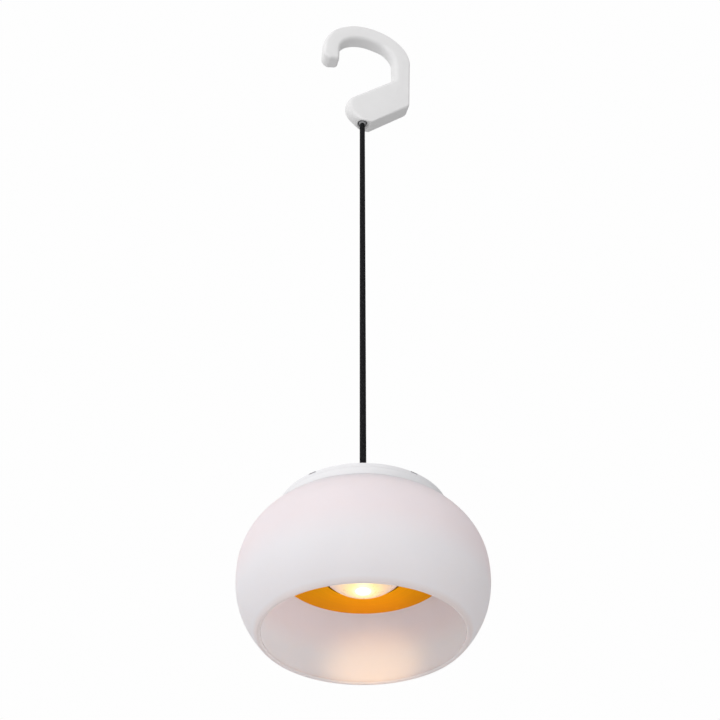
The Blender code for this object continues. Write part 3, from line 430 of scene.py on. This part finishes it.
def lens_finish():
    """Lit diffuser: a white-hot middle, then yellow, amber and mauve, and a flange painted dark as the
    shade in the gap round the lens.
    """
    finish = Finish("lit_lens", (0.85, 0.70, 0.52), 0.3, Coat_Weight=0.3)
    share = finish.between(finish.from_axis(), 0.0, 1.0, 0.0, LENS_RADIUS * MM)
    lit = [(0.0, (1.0, 1.0, 0.95)), (0.20, (1.0, 0.97, 0.75)), (0.33, (0.95, 0.74, 0.06)),
           (0.55, (0.78, 0.42, 0.14)), (0.95, (0.56, 0.38, 0.48)), (1.0, (0.0, 0.0, 0.0))]
    finish.link(finish.ramp(share, lit), finish.shader.inputs["Emission Color"])
    strength = finish.between(share, 3.0, 0.42, 0.10, 0.22)
    finish.link(strength, finish.shader.inputs["Emission Strength"])
    ripples = finish.noise(0.0022, 1.0)
    # base colour from the axis out; the near-black at the flange is painted shade for the gap round the
    # lens
    surface_and_painted_gap_shade = [(0.0, (0.56, 0.40, 0.20)), (0.97, (0.62, 0.55, 0.47)), (1.0, (0.06, 0.04, 0.03))]
    finish.link(finish.ramp(share, surface_and_painted_gap_shade), finish.shader.inputs["Base Color"])
    return finish.wear(0.004, 0.06).bump(ripples, 0.00006).mat


def braid_finish():
    """Black yarn: fine fibres, with a few paler ends that catch the light."""
    finish = Finish("black_braid", (0.010, 0.010, 0.011), 0.9, Specular_IOR_Level=0.06)
    flecks = finish.noise(0.0006, 2.0, rough=0.7)
    yarn = finish.ramp(flecks, [(0.55, (0.007, 0.007, 0.008)), (0.72, (0.045, 0.045, 0.048))])
    finish.link(yarn, finish.shader.inputs["Base Color"])
    return finish.wear(0.002, 0.08).grain(0.00022, 0.00005).mat


def make_finishes():
    """One material for each material slot of the record."""
    sleeve = Finish("cell_sleeve", (0.05, 0.20, 0.42), 0.34, 0.2).mottle(0.01, 0.05).wear(0.004, 0.06)
    pipe = Finish("clear_pipe", (0.88, 0.92, 0.90), 0.18, Transmission_Weight=0.8, IOR=1.49)
    emitter = Finish("phosphor", (0.95, 0.66, 0.12), 0.6).mottle(0.001, 0.08)
    emitter.set("Emission Color", (1.0, 0.78, 0.35, 1.0))
    emitter.set("Emission Strength", 1.5)
    return {
        "hook_plastic": moulded("hook_white", (0.69, 0.685, 0.688), 0.42),
        "cap_plastic": moulded("cap_white", (0.71, 0.705, 0.72), 0.46),
        "braid": braid_finish(),
        "frosted_shade": shade_finish(),
        "gold": gold_finish(),
        # steel darker than bare steel: painted shade, so the ball in the hook's cord funnel reads as
        # shadowed
        "steel": metal("steel_darkened_as_shade", (0.36, 0.36, 0.37), 0.34, (1.0, 1.0, 9.0)),
        "brass": metal("plain_brass", (0.78, 0.60, 0.26), 0.32),
        "gasket_rubber": rubbery("gasket_rubber", (0.55, 0.55, 0.55)),
        "soft_grey": rubbery("soft_grey", (0.66, 0.66, 0.66), 0.6),
        "clear_pipe": pipe.mottle(0.002, 0.03).wear(0.001, 0.05).mat,
        "lens": lens_finish(),
        "emitter": emitter.grain(0.0005, 0.00003).mat,
        "board_green": circuit("board_green", (0.03, 0.20, 0.07), (0.06, 0.30, 0.11)),
        "board_white": circuit("board_white", (0.82, 0.82, 0.80), (0.66, 0.66, 0.64)),
        "aluminium": metal("bare_aluminium", (0.72, 0.72, 0.73), 0.38, (12.0, 1.0, 1.0)),
        "black_plastic": moulded("black_plastic", (0.05, 0.05, 0.055), 0.5),
        "cell_sleeve": sleeve.grain(0.0008, 0.00001).mat,
        "red_lead": rubbery("red_lead", (0.55, 0.03, 0.03), 0.5),
        "black_lead": rubbery("black_lead", (0.02, 0.02, 0.02), 0.5),
    }


def dress_cad_nodes(finishes):
    """Give every CAD node the finish of its slot in the record."""
    for subpart in frame["record"]["subparts"]:
        for holder in frame["nodes"][subpart["node"]].material_slots:
            holder.material = finishes[subpart["material_slot"]]


# ---- hook ----------------------------------------------------------------------------------------
SEAT_RADIUS, SEAT_X = 24.0, 2.6
ARCH_RADIUS, ARCH_X, ARCH_TOP = 39.0, 3.4, 18.0
SHANK_TAPER = 2.2
NOSE_RADIUS, NOSE_X = 18.2, 3.6
ARM_WIDTH = 33.3
TIP_Z, TIP_INNER_X, TIP_SLANT = -40.5, -21.6, 2.2
TIP_ROUND, TIP_CORNER = 8.0, 3.2
HEEL_CORNER, CROTCH_CORNER, NOSE_CORNER = 9.0, 4.0, 3.0
SOFT, TIP, ROUNDED, PLAIN, CRISP = 5.3, 4.2, 3.0, 2.0, 0.9      # rounding of the long edges
OUTLINE_STEP = 0.7
EVENED_OVER = 16.0             # along the outline, one rounding passes into the next
FUNNEL_MOUTH, FUNNEL_FLARE = 8.2, 1.5   # a radius of more than half the depth scallops both faces
SWING_LIMIT, ROCK_LIMIT = math.radians(18.0), math.radians(8.0)
SWING_LEAN = math.acos(math.cos(SWING_LIMIT) ** 2)      # with both swing joints at their limit
ROCK_LEAN = math.acos(math.cos(ROCK_LIMIT) ** 2)


def hook_edge():
    """The hook's edge in the XZ plane with the edge rounding wanted at each point."""
    seat_z = -math.sqrt(SEAT_RADIUS ** 2 - SEAT_X ** 2)
    arch_z = ARCH_TOP - ARCH_RADIUS
    right = ARCH_X + ARCH_RADIUS - SHANK_TAPER
    nose_z = NOSE_Z + NOSE_RADIUS
    half = math.sqrt(0.5)
    top_x, top_z = NOSE_X - NOSE_RADIUS * half, nose_z + NOSE_RADIUS * half
    low_shift = (ARM_WIDTH - NOSE_RADIUS) / half
    heel_z = nose_z - low_shift + (right - NOSE_X)
    flat_end = NOSE_X + low_shift - NOSE_RADIUS
    crotch_x = SEAT_X + SEAT_RADIUS
    crotch_z = top_z + (crotch_x - top_x)
    tip = arc(ARCH_X - ARCH_RADIUS + TIP_ROUND, TIP_Z + TIP_ROUND, TIP_ROUND, 180.0, 255.0, 16)
    tip_inner = (TIP_INNER_X, TIP_Z + TIP_SLANT)
    heel, nose = (right, heel_z), (flat_end, NOSE_Z)
    crotch = (crotch_x, crotch_z)
    stretches = [
        (arc(ARCH_X, arch_z, ARCH_RADIUS, 180.0, 150.0, 25), TIP),
        (arc(ARCH_X, arch_z, ARCH_RADIUS, 148.0, 115.0, 25), ROUNDED),
        (arc(ARCH_X, arch_z, ARCH_RADIUS, 114.0, 0.0, 90), PLAIN),
        (corner(heel, (ARCH_X + ARCH_RADIUS, arch_z), nose, HEEL_CORNER), PLAIN),
        (corner(nose, heel, (NOSE_X, NOSE_Z), NOSE_CORNER), CRISP),
        (arc(NOSE_X, nose_z, NOSE_RADIUS, 270.0, 245.0, 12), CRISP),
        (arc(NOSE_X, nose_z, NOSE_RADIUS, 244.0, 135.0, 40), SOFT),
        (corner(crotch, (top_x, top_z), (crotch_x, seat_z), CROTCH_CORNER), SOFT),
        (arc(SEAT_X, seat_z, SEAT_RADIUS, 0.0, 60.0, 40), SOFT),
        (arc(SEAT_X, seat_z, SEAT_RADIUS, 62.0, 180.0, 70), ROUNDED),
        (corner(tip_inner, (SEAT_X - SEAT_RADIUS, seat_z), tip[-1], TIP_CORNER), ROUNDED),
        (tip[::-1], PLAIN),
    ]
    points = [(x, z, rounding) for stretch, rounding in stretches for x, z in stretch]
    return resample(points, OUTLINE_STEP)


def corner(here, before, after, radius):
    """One rounded corner of an outline, between its neighbours."""
    return soften([before, here, after], {1: radius}, 10)[1:-1]


def resample(points, step):
    """Closed outline with even spacing and evened-out roundings."""
    loop = np.array(points + points[:1])
    run = np.r_[0.0, np.cumsum(np.hypot(*np.diff(loop[:, :2], axis=0).T))]
    count = int(run[-1] / step)
    at = np.linspace(0.0, run[-1], count, endpoint=False)
    x, z, rounding = (np.interp(at, run, loop[:, k]) for k in range(3))
    window = np.hanning(int(EVENED_OVER / step) | 1)
    window /= window.sum()
    reach = len(window) // 2
    padded = np.r_[rounding[-reach:], rounding, rounding[:reach]]
    return x, z, np.convolve(padded, window, "valid")


def hook_solid():
    """The moulding before its socket is bored: an edge rolled over to both faces."""
    x, z, rounding = hook_edge()
    tangent = np.c_[np.roll(x, -1) - np.roll(x, 1), np.roll(z, -1) - np.roll(z, 1)]
    tangent /= np.hypot(*tangent.T)[:, None]
    inward = np.c_[tangent[:, 1], -tangent[:, 0]]
    half = HOOK_DEPTH / 2.0
    layers = []
    steps = 8
    for k in range(steps + 1):
        angle = 0.5 * math.pi * k / steps
        inset = rounding * (1.0 - math.sin(angle))
        depth = half - rounding * (1.0 - math.cos(angle))
        layers.append(np.c_[x + inward[:, 0] * inset, depth, z + inward[:, 1] * inset])
    mirrored = [layer * (1.0, -1.0, 1.0) for layer in reversed(layers)]
    verts = np.vstack(layers + mirrored)
    return mesh_from("hook", verts.tolist(), tube_faces(len(layers) * 2, len(x)))


def funnel_radius(below):
    """Room for the leaning cord at a depth below the upper pivot."""
    return CORD_DIAMETER / 2.0 / math.cos(SWING_LEAN) + below * math.tan(SWING_LEAN) + GAP


def make_hook(finish):
    """White moulding with its cord socket, and the peg that closes the bore over the ball."""
    seat = BALL_RADIUS + GAP
    mouth = UPPER_PIVOT_Z - NOSE_Z + CUT_PAST
    bowl = arc(0.0, 0.0, seat, -60.0, 0.0, 12)
    bowl = [point for point in bowl if point[0] > funnel_radius(-point[1])]
    top = NOSE_RADIUS + ARM_WIDTH
    flared = mouth - FUNNEL_FLARE
    profile = [(0.0, -mouth), (FUNNEL_MOUTH, -mouth), (funnel_radius(flared), -flared)]
    profile += [(funnel_radius(-bowl[0][1]), bowl[0][1])] + bowl + [(seat, top), (0.0, top)]
    socket = lathe("socket", profile, UPPER_PIVOT_Z, 72)
    body = boolean(hook_solid(), [socket])
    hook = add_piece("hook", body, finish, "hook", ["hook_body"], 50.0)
    low = BALL_RADIUS + 2.0 * GAP
    core = bore(BALL_RADIUS, UPPER_PIVOT_Z + low, UPPER_PIVOT_Z + top)
    peg = boolean(hook_solid(), [core], "INTERSECT")
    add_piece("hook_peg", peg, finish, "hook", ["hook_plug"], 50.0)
    return hook


# ---- cord ----------------------------------------------------------------------------------------
STRANDS = 8                   # each way round
BRAID_PITCH = 15.0            # height of one turn of a strand
BRAID_RELIEF = 0.10
BRAID_UNDER = 0.35            # height of a strand where it runs under another, as a share
CORD_AROUND, CORD_RISE = 72, 0.3


def braid_height(turn, height):
    """Relief of a two-way braid, from 0 in the gaps to 1 on a strand's crown."""
    right = STRANDS * (turn + height / BRAID_PITCH)
    left = STRANDS * (turn - height / BRAID_PITCH)
    crown_right = np.sqrt(np.clip(1.0 - (2.0 * (right % 1.0) - 1.0) ** 2, 0.0, 1.0))
    crown_left = np.sqrt(np.clip(1.0 - (2.0 * (left % 1.0) - 1.0) ** 2, 0.0, 1.0))
    wave_right = 0.5 + 0.5 * np.sin(math.pi * (left + np.floor(right)))
    wave_left = 0.5 - 0.5 * np.sin(math.pi * (right + np.floor(left) + 1.0))
    right_strands = crown_right * (BRAID_UNDER + (1.0 - BRAID_UNDER) * wave_right)
    left_strands = crown_left * (BRAID_UNDER + (1.0 - BRAID_UNDER) * wave_left)
    return np.maximum(right_strands, left_strands)


def make_cord(finish):
    """The braided cord hangs straight between its two crimped balls."""
    length = CORD_TOP_Z - CORD_BOTTOM_Z
    rings = int(length / CORD_RISE) + 1
    height = np.repeat(np.linspace(0.0, length, rings), CORD_AROUND)
    turn = np.tile(np.arange(CORD_AROUND) / CORD_AROUND, rings)
    radius = CORD_DIAMETER / 2.0 - BRAID_RELIEF * (1.0 - braid_height(turn, height))
    verts = np.c_[radius * np.cos(TAU * turn), radius * np.sin(TAU * turn), CORD_TOP_Z - height]
    mesh = mesh_from("cord_braid", verts.tolist(), tube_faces(rings, CORD_AROUND))
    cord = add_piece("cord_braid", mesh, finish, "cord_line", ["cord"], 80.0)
    return cord


# ---- shade ---------------------------------------------------------------------------------------
def bulge(height, inset=0.0):
    """Radius of the shade's outer face at a height over the rim, or of a face inset from it."""
    low = height < BELLY_HEIGHT
    reach = (LOWER_BULGE if low else UPPER_BULGE) - inset
    power = LOWER_POWER if low else UPPER_POWER
    share = abs(height - BELLY_HEIGHT) / reach
    return (SHADE_RADIUS - inset) * (1.0 - share ** power) ** (1.0 / power)


def wall(low, high, steps, inset=0.0):
    """Points up or down the shade's outer face, or a face inset from it."""
    heights = [low + (high - low) * i / steps for i in range(steps + 1)]
    return [(bulge(height, inset), height) for height in heights]


def make_shade(finish):
    """Blown globe: fine curved wall, softly rounded rim and a flat collar under the cap."""
    neck_bottom = NECK_TOP - SHADE_WALL
    corner_drop, corner_reach = 0.4, 1.5        # inside corner between the wall and the collar
    outer = wall(0.0, BELLY_HEIGHT, 30) + wall(BELLY_HEIGHT, NECK_TOP, 36)[1:]
    inner = wall(neck_bottom - corner_drop, BELLY_HEIGHT, 34, SHADE_WALL)
    inner += wall(BELLY_HEIGHT, 0.0, 30, SHADE_WALL)[1:]
    collar = [(NECK_RADIUS, NECK_TOP), (NECK_RADIUS, neck_bottom),
              (inner[0][0] - corner_reach, neck_bottom)]
    profile = outer + collar + inner
    rim = {0: 1.1, len(profile) - 1: 1.1, len(outer) - 1: 0.9}
    mesh = lathe("shade_globe", soften(profile, rim, 4), RIM_Z)
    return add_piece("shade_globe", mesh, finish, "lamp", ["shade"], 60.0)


# ---- cap -----------------------------------------------------------------------------------------
def cord_room(height):
    """Room for the rocking cord at a height over the rim."""
    lean = math.tan(ROCK_LEAN)
    return CORD_DIAMETER / 2.0 / math.cos(ROCK_LEAN) + (height - LOWER_PIVOT) * lean + GAP


def make_housing(finish):
    """Skirt, flange, spigot, floor and ball socket of the cap in one moulding."""
    spigot = NECK_RADIUS - 2.0 * GAP
    skirt_in = CAP_RADIUS - SKIRT_EDGE
    trough = FLANGE_BOTTOM + TROUGH_FLOOR
    floor_top = FLOOR_BOTTOM + FLOOR_THICKNESS
    top = COVER_BOTTOM - GAP
    hole = cord_room(top)
    tower = SOCKET_RADIUS + TOWER_WALL
    opening = math.degrees(math.acos(hole / SOCKET_RADIUS))
    bowl = arc(0.0, LOWER_PIVOT, SOCKET_RADIUS, opening, 0.0, 10)
    profile = [(CAP_RADIUS, FLANGE_BOTTOM - SKIRT_LAP), (CAP_RADIUS, top), (CAP_RADIUS - CAP_WALL, top),
               (CAP_RADIUS - CAP_WALL, trough), (spigot - CAP_WALL, trough),
               (spigot - CAP_WALL, floor_top), (tower, floor_top), (tower, top), (hole, top)]
    profile += bowl + [(SOCKET_RADIUS, FLOOR_BOTTOM), (spigot, FLOOR_BOTTOM), (spigot, FLANGE_BOTTOM),
                       (skirt_in, FLANGE_BOTTOM), (skirt_in, FLANGE_BOTTOM - SKIRT_LAP)]
    mesh = lathe("cap_shell", soften(profile, {0: 0.2, 1: 0.06}, 3), RIM_Z)
    below, above = RIM_Z + FLOOR_BOTTOM - CUT_PAST, RIM_Z + floor_top + CUT_PAST
    lead_slot = rounded_rectangle(0.0, LEAD_SLOT_Y, LEAD_SLOT_LENGTH, LEAD_SLOT_WIDTH, 1.4)
    tools = [plate("lead_slot", lead_slot, below, above)]
    tools += [screw_bore("can_screw_%d" % k, below, above) for k in (1, 2, 3)]
    blind = RIM_Z + FLOOR_BOTTOM + 0.5
    tools += [screw_bore("board_screw_%d" % k, blind, above) for k in (1, 2)]
    shell = boolean(mesh, tools)
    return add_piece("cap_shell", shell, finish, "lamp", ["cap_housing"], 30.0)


def make_notch(turn):
    """Cutter of one slot in the cover's rim, turned about the axis from the lamp's front."""
    angle = LAMP_FRONT + turn - math.pi / 2.0
    length = 20.0
    centre = CAP_RADIUS + length / 2.0 - NOTCH_DEPTH
    outline = rounded_rectangle(0.0, 0.0, length, NOTCH_WIDTH, 0.6)
    turned = [(centre * math.cos(angle) + a * math.cos(angle) - b * math.sin(angle),
               centre * math.sin(angle) + a * math.sin(angle) + b * math.cos(angle))
              for a, b in outline]
    top = RIM_Z + CAP_TOP
    return plate("notch", turned, top - NOTCH_HEIGHT, top - NOTCH_ROOF)


def make_cover(finish):
    """Flat disc with a soft top edge, four prying slots and the openings of the controls."""
    hole = BUSHING_RADIUS + GAP
    hairline = 0.02                # what is left of the gap to the housing at the rim
    low = COVER_BOTTOM - GAP + hairline
    inside = CAP_RADIUS - CAP_WALL
    profile = [(hole, COVER_BOTTOM), (inside, COVER_BOTTOM), (inside, low), (CAP_RADIUS, low),
               (CAP_RADIUS, CAP_TOP), (hole, CAP_TOP)]
    mesh = lathe("cap_cover", soften(profile, {3: 0.06, 4: 0.9, 5: 0.3}, 6), RIM_Z)
    face = RIM_Z + CAP_TOP
    below, above = RIM_Z + COVER_BOTTOM - CUT_PAST, face + CUT_PAST
    around = 2.0 * GAP
    recess = rounded_rectangle(PORT_X, CONTROL_Y, FLAP_LENGTH + around, FLAP_WIDTH + around, 1.0)
    slot = rounded_rectangle(PORT_X, CONTROL_Y, PORT_LENGTH + around, PORT_WIDTH + around, 1.6)
    tools = [bore(BUTTON_RADIUS + GAP, below, above, BUTTON_X, CONTROL_Y, 80),
             bore(PIPE_RADIUS + GAP, below, above, 0.0, CONTROL_Y, 40),
             plate("recess", recess, face - FLAP_THICKNESS - GAP, above),
             plate("slot", slot, below, face)]
    for turn in (-NOTCH_ANGLE, NOTCH_ANGLE, math.pi - NOTCH_ANGLE, math.pi + NOTCH_ANGLE):
        tools.append(make_notch(turn))
    cover = boolean(mesh, tools)
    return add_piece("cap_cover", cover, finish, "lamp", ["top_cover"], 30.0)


def make_bushing(finish):
    """Soft collar round the cord, opening a little upwards."""
    low, high = COVER_BOTTOM + GAP, CAP_TOP + BUSHING_PROUD
    profile = [(cord_room(low) + 0.2, low), (BUSHING_RADIUS, low), (BUSHING_RADIUS, high),
               (cord_room(high) + 0.5, high)]
    mesh = lathe("cord_collar", soften(profile, {2: 0.5, 3: 0.4}, 6), RIM_Z, 72)
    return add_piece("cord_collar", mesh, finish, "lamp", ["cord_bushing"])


# ---- controls ------------------------------------------------------------------------------------
def make_button(finish):
    """Push button with a dished top and a soft edge."""
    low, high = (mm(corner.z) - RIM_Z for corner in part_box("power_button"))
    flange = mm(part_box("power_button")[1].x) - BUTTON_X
    dish = [(BUTTON_RADIUS * share, high - BUTTON_DISH * (1.0 - share ** 2))
            for share in (0.8, 0.6, 0.4, 0.2, 0.0)]
    flange_top = low + BUTTON_FLANGE
    profile = [(0.0, low), (flange, low), (flange, flange_top), (BUTTON_RADIUS, flange_top),
               (BUTTON_RADIUS, high)]
    profile = soften(profile + dish, {4: 0.45}, 6)
    mesh = lathe("push_button", profile, RIM_Z, 80, (BUTTON_X, CONTROL_Y))
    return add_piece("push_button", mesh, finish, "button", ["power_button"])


def make_flap(finish):
    """Rubber flap over the charging socket, with a thumb hollow at the edge that lifts."""
    outline = rounded_rectangle(PORT_X, CONTROL_Y, FLAP_LENGTH, FLAP_WIDTH, 0.8)
    top = RIM_Z + CAP_TOP
    mesh = plate("socket_flap", outline, top - FLAP_THICKNESS, top)
    ball = arc(0.0, THUMB_BALL - THUMB_DEPTH, THUMB_BALL, -90.0, 90.0, 24)
    lifting_edge = CONTROL_Y - FLAP_WIDTH / 2.0
    hollow = lathe("hollow", ball, top, 48, (PORT_X, lifting_edge - 0.6))
    flap = boolean(mesh, [hollow])
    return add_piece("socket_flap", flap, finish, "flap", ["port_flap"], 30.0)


def make_port(finish):
    """Stamped shell of the charging socket with its tongue."""
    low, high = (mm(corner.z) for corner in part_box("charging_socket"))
    length, width = PORT_LENGTH - 2.0 * PORT_WALL, PORT_WIDTH - 2.0 * PORT_WALL
    outer = rounded_rectangle(PORT_X, CONTROL_Y, PORT_LENGTH, PORT_WIDTH, 1.2, 10)
    inner = rounded_rectangle(PORT_X, CONTROL_Y, length, width, 0.9, 10)
    blade = rounded_rectangle(PORT_X, CONTROL_Y, TONGUE_LENGTH, TONGUE_WIDTH, 0.2)
    shell = plate("socket_shell", outer, low, high)
    mouth = plate("mouth", inner, low + PORT_FLOOR, high + CUT_PAST)
    tongue = plate("tongue", blade, low, high - TONGUE_DROP)
    mesh = boolean(shell, [boolean(mouth, [tongue])])
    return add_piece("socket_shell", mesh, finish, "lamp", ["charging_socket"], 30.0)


# ---- can, reflector and lens ---------------------------------------------------------------------
def make_can(finish):
    """Gold sleeve under the collar."""
    inside = CAN_RADIUS - CAN_WALL
    profile = [(CAN_RADIUS, CAN_BOTTOM), (CAN_RADIUS, CAN_TOP), (CAN_MOUTH, CAN_TOP),
               (CAN_MOUTH, CAN_TOP - CAN_WALL), (inside, CAN_TOP - CAN_WALL), (inside, CAN_BOTTOM)]
    mesh = lathe("gold_sleeve", soften(profile, {0: 0.2, 1: 1.0}, 6), RIM_Z)
    top = RIM_Z + CAN_TOP
    tools = [screw_bore("can_screw_%d" % k, top - 3.0, top + CUT_PAST) for k in (1, 2, 3)]
    can = boolean(mesh, tools)
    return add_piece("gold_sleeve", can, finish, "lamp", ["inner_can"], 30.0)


def make_reflector(finish):
    """Gold dish: a shallow cone with a lip inside the can and a soft edge at the lens."""
    rim_out = CAN_RADIUS - CAN_WALL - GAP
    rim_in = rim_out - REFLECTOR_WALL
    low = CAN_BOTTOM - GAP
    lip_top = CAN_BOTTOM + REFLECTOR_LIP
    cone_z = CAN_BOTTOM - REFLECTOR_DROP
    profile = [(CAN_RADIUS, low - REFLECTOR_WALL), (CAN_RADIUS, low), (rim_out, low),
               (rim_out, lip_top), (rim_in, lip_top), (rim_in, low),
               (REFLECTOR_HOLE, cone_z + REFLECTOR_WALL), (REFLECTOR_HOLE, cone_z)]
    mesh = lathe("gold_dish", soften(profile, {0: 0.4, 7: 0.35}, 6), RIM_Z)
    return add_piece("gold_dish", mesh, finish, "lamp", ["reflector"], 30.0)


def dome(radius, base, apex, steps):
    """A spherical cap hanging below its base circle, from the edge to the axis."""
    sag = base - apex
    ball = (radius ** 2 + sag ** 2) / (2.0 * sag)
    span = math.asin(radius / ball)
    angles = [span * (1.0 - i / steps) for i in range(steps + 1)]
    return [(ball * math.sin(a), apex + ball - ball * math.cos(a)) for a in angles[:-1]] + [(0.0, apex)]


def make_lens(finish):
    """Domed diffuser with its clamping flange."""
    base = CAN_BOTTOM - REFLECTOR_DROP
    flange_low = LENS_TOP - LENS_FLANGE
    profile = [(LENS_FLANGE_RADIUS, flange_low), (LENS_RADIUS, flange_low)]
    profile += dome(LENS_RADIUS, base, LENS_APEX, 40)
    profile += dome(LENS_RADIUS - LENS_WALL, base, LENS_APEX + LENS_WALL, 40)[::-1]
    profile += [(LENS_RADIUS - LENS_WALL, LENS_TOP), (LENS_FLANGE_RADIUS, LENS_TOP)]
    mesh = lathe("lens_dome", profile, RIM_Z, 160)
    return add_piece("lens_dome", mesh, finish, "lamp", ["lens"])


# ---- studio --------------------------------------------------------------------------------------
VIEW_TURN = math.radians(-16.0)
VIEW_RISE = math.radians(40.92)
VIEW_FORWARD = Vector((-math.sin(VIEW_TURN), math.cos(VIEW_TURN), 0.0))
VIEW_RIGHT = Vector((math.cos(VIEW_TURN), math.sin(VIEW_TURN), 0.0))
CAMERA_AWAY = 620.3                     # from the lamp's axis
CAMERA_BELOW = 328.6                    # under the rim
CAMERA_ASIDE = -1.9                     # to the right of the lamp's axis
FLOOR_Z, FLOOR_REACH = -2000.0, 12000.0
BRIGHT_SIDE = Vector((-0.866, -0.115, 0.35)).normalized()
DIM_LIGHT, BRIGHT_LIGHT = 0.22, 1.38    # strength of the world's light away from and on that side
WHITE_BEHIND = 0.99                     # strength of the world where the camera sees it
LAMP_MIDDLE = (0.0, 0.0, -0.35)         # metres, as are the places of the lights
KEY_PLACE, KEY_SIZE, KEY_WATTS = (-0.9, -1.7, -0.1), 1.0, 10.0
POOL_WATTS, POOL_SPREAD, POOL_DROP = 0.18, math.radians(66.0), 0.004
POOL_HEIGHT, POOL_ASIDE = 11.0, 0.008   # aim of the warm patch: mm over the rim, metres along X
GLOW_WATTS, GLOW_DROP = 0.028, 0.018
WARM, PALE_WARM = (1.0, 0.56, 0.22), (1.0, 0.92, 0.86)


def make_camera():
    """Camera below the lamp, looking up at it."""
    camera = bpy.data.cameras.new("camera")
    camera.lens = 60.0
    camera.sensor_width = 36.0
    camera.clip_start = 0.01
    holder = bpy.data.objects.new("camera", camera)
    bpy.context.scene.collection.objects.link(holder)
    place = -CAMERA_AWAY * VIEW_FORWARD + CAMERA_ASIDE * VIEW_RIGHT
    holder.location = (place.x * MM, place.y * MM, (RIM_Z - CAMERA_BELOW) * MM)
    holder.rotation_euler = (math.pi / 2.0 + VIEW_RISE, 0.0, VIEW_TURN)
    bpy.context.scene.camera = holder


def add_light(name, kind, place, watts, target=None, **settings):
    """A light at a place, turned towards its target if it has one."""
    light = bpy.data.lights.new(name, kind)
    light.energy = watts
    for setting, value in settings.items():
        setattr(light, setting, value)
    holder = bpy.data.objects.new(name, light)
    bpy.context.scene.collection.objects.link(holder)
    holder.location = place
    if target is not None:
        aim = Vector(target) - Vector(place)
        holder.rotation_euler = aim.to_track_quat("-Z", "Y").to_euler()
    return holder


def make_world():
    """White studio: plain white behind, a soft gradient for the light that falls on the lamp."""
    world = bpy.data.worlds.new("studio")
    bpy.context.scene.world = world
    world.use_nodes = True
    nodes, links = world.node_tree.nodes, world.node_tree.links
    background = nodes["Background"]
    coord = nodes.new("ShaderNodeTexCoord")
    towards = nodes.new("ShaderNodeVectorMath")
    towards.operation = "DOT_PRODUCT"
    towards.inputs[1].default_value = BRIGHT_SIDE
    links.new(coord.outputs["Generated"], towards.inputs[0])
    strength = nodes.new("ShaderNodeMapRange")
    strength.inputs["From Min"].default_value = -1.0
    strength.inputs["To Min"].default_value = DIM_LIGHT
    strength.inputs["To Max"].default_value = BRIGHT_LIGHT
    links.new(towards.outputs["Value"], strength.inputs["Value"])
    paths = nodes.new("ShaderNodeLightPath")
    choose = nodes.new("ShaderNodeMix")
    choose.data_type = "FLOAT"
    links.new(paths.outputs["Is Camera Ray"], choose.inputs["Factor"])
    links.new(strength.outputs["Result"], choose.inputs[2])
    choose.inputs[3].default_value = WHITE_BEHIND
    links.new(choose.outputs[0], background.inputs["Strength"])
    background.inputs["Color"].default_value = (1.0, 1.0, 1.0, 1.0)


def make_floor():
    """Pale floor far below the hanging lamp, with a faint paper grain."""
    mesh = bpy.data.meshes.new("floor")
    reach, z = FLOOR_REACH * MM, FLOOR_Z * MM
    corners = [(-reach, -reach, z), (reach, -reach, z), (reach, reach, z), (-reach, reach, z)]
    mesh.from_pydata(corners, [], [(0, 1, 2, 3)])
    finish = Finish("floor_paper", (0.71, 0.71, 0.71), 0.9)
    mesh.materials.append(finish.mottle(0.4, 0.01).grain(0.002, 0.0001).mat)
    floor = bpy.data.objects.new("floor", mesh)
    bpy.context.scene.collection.objects.link(floor)


def make_lamp_light():
    """Light of the lit lens, which moves with the lamp: a warm patch on the wall, and a weak glow."""
    lens_z = (RIM_Z + LENS_APEX) * MM
    place = Vector((0.0, 0.0, lens_z - POOL_DROP))
    wall_inside = VIEW_FORWARD * (SHADE_RADIUS - SHADE_WALL) * MM
    target = wall_inside + Vector((POOL_ASIDE, 0.0, (RIM_Z + POOL_HEIGHT) * MM))
    pool = add_light("warm_pool", "SPOT", place, POOL_WATTS, target, color=WARM,
                     spot_size=POOL_SPREAD, spot_blend=1.0, shadow_soft_size=0.008)
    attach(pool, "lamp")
    glow = add_light("lens_glow", "POINT", place - Vector((0.0, 0.0, GLOW_DROP)), GLOW_WATTS,
                     color=PALE_WARM, shadow_soft_size=0.012)
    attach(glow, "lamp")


def make_studio():
    """Camera, white surroundings, floor, one soft key light and the lamp's own light."""
    make_camera()
    make_world()
    make_floor()
    add_light("key", "AREA", KEY_PLACE, KEY_WATTS, LAMP_MIDDLE, shape="DISK", size=KEY_SIZE)
    bpy.context.scene.view_settings.view_transform = "Standard"
    make_lamp_light()


def main():
    """Finishes, studio and cord first, then the rest from the hook down."""
    finishes = make_finishes()
    dress_cad_nodes(finishes)
    make_studio()
    make_cord(finishes["braid"])
    make_hook(finishes["hook_plastic"])
    make_shade(finishes["frosted_shade"])
    make_housing(finishes["cap_plastic"])
    make_cover(finishes["cap_plastic"])
    make_bushing(finishes["soft_grey"])
    make_button(finishes["soft_grey"])
    make_flap(finishes["soft_grey"])
    make_port(finishes["steel"])
    make_can(finishes["gold"])
    make_reflector(finishes["gold"])
    make_lens(finishes["lens"])


main()
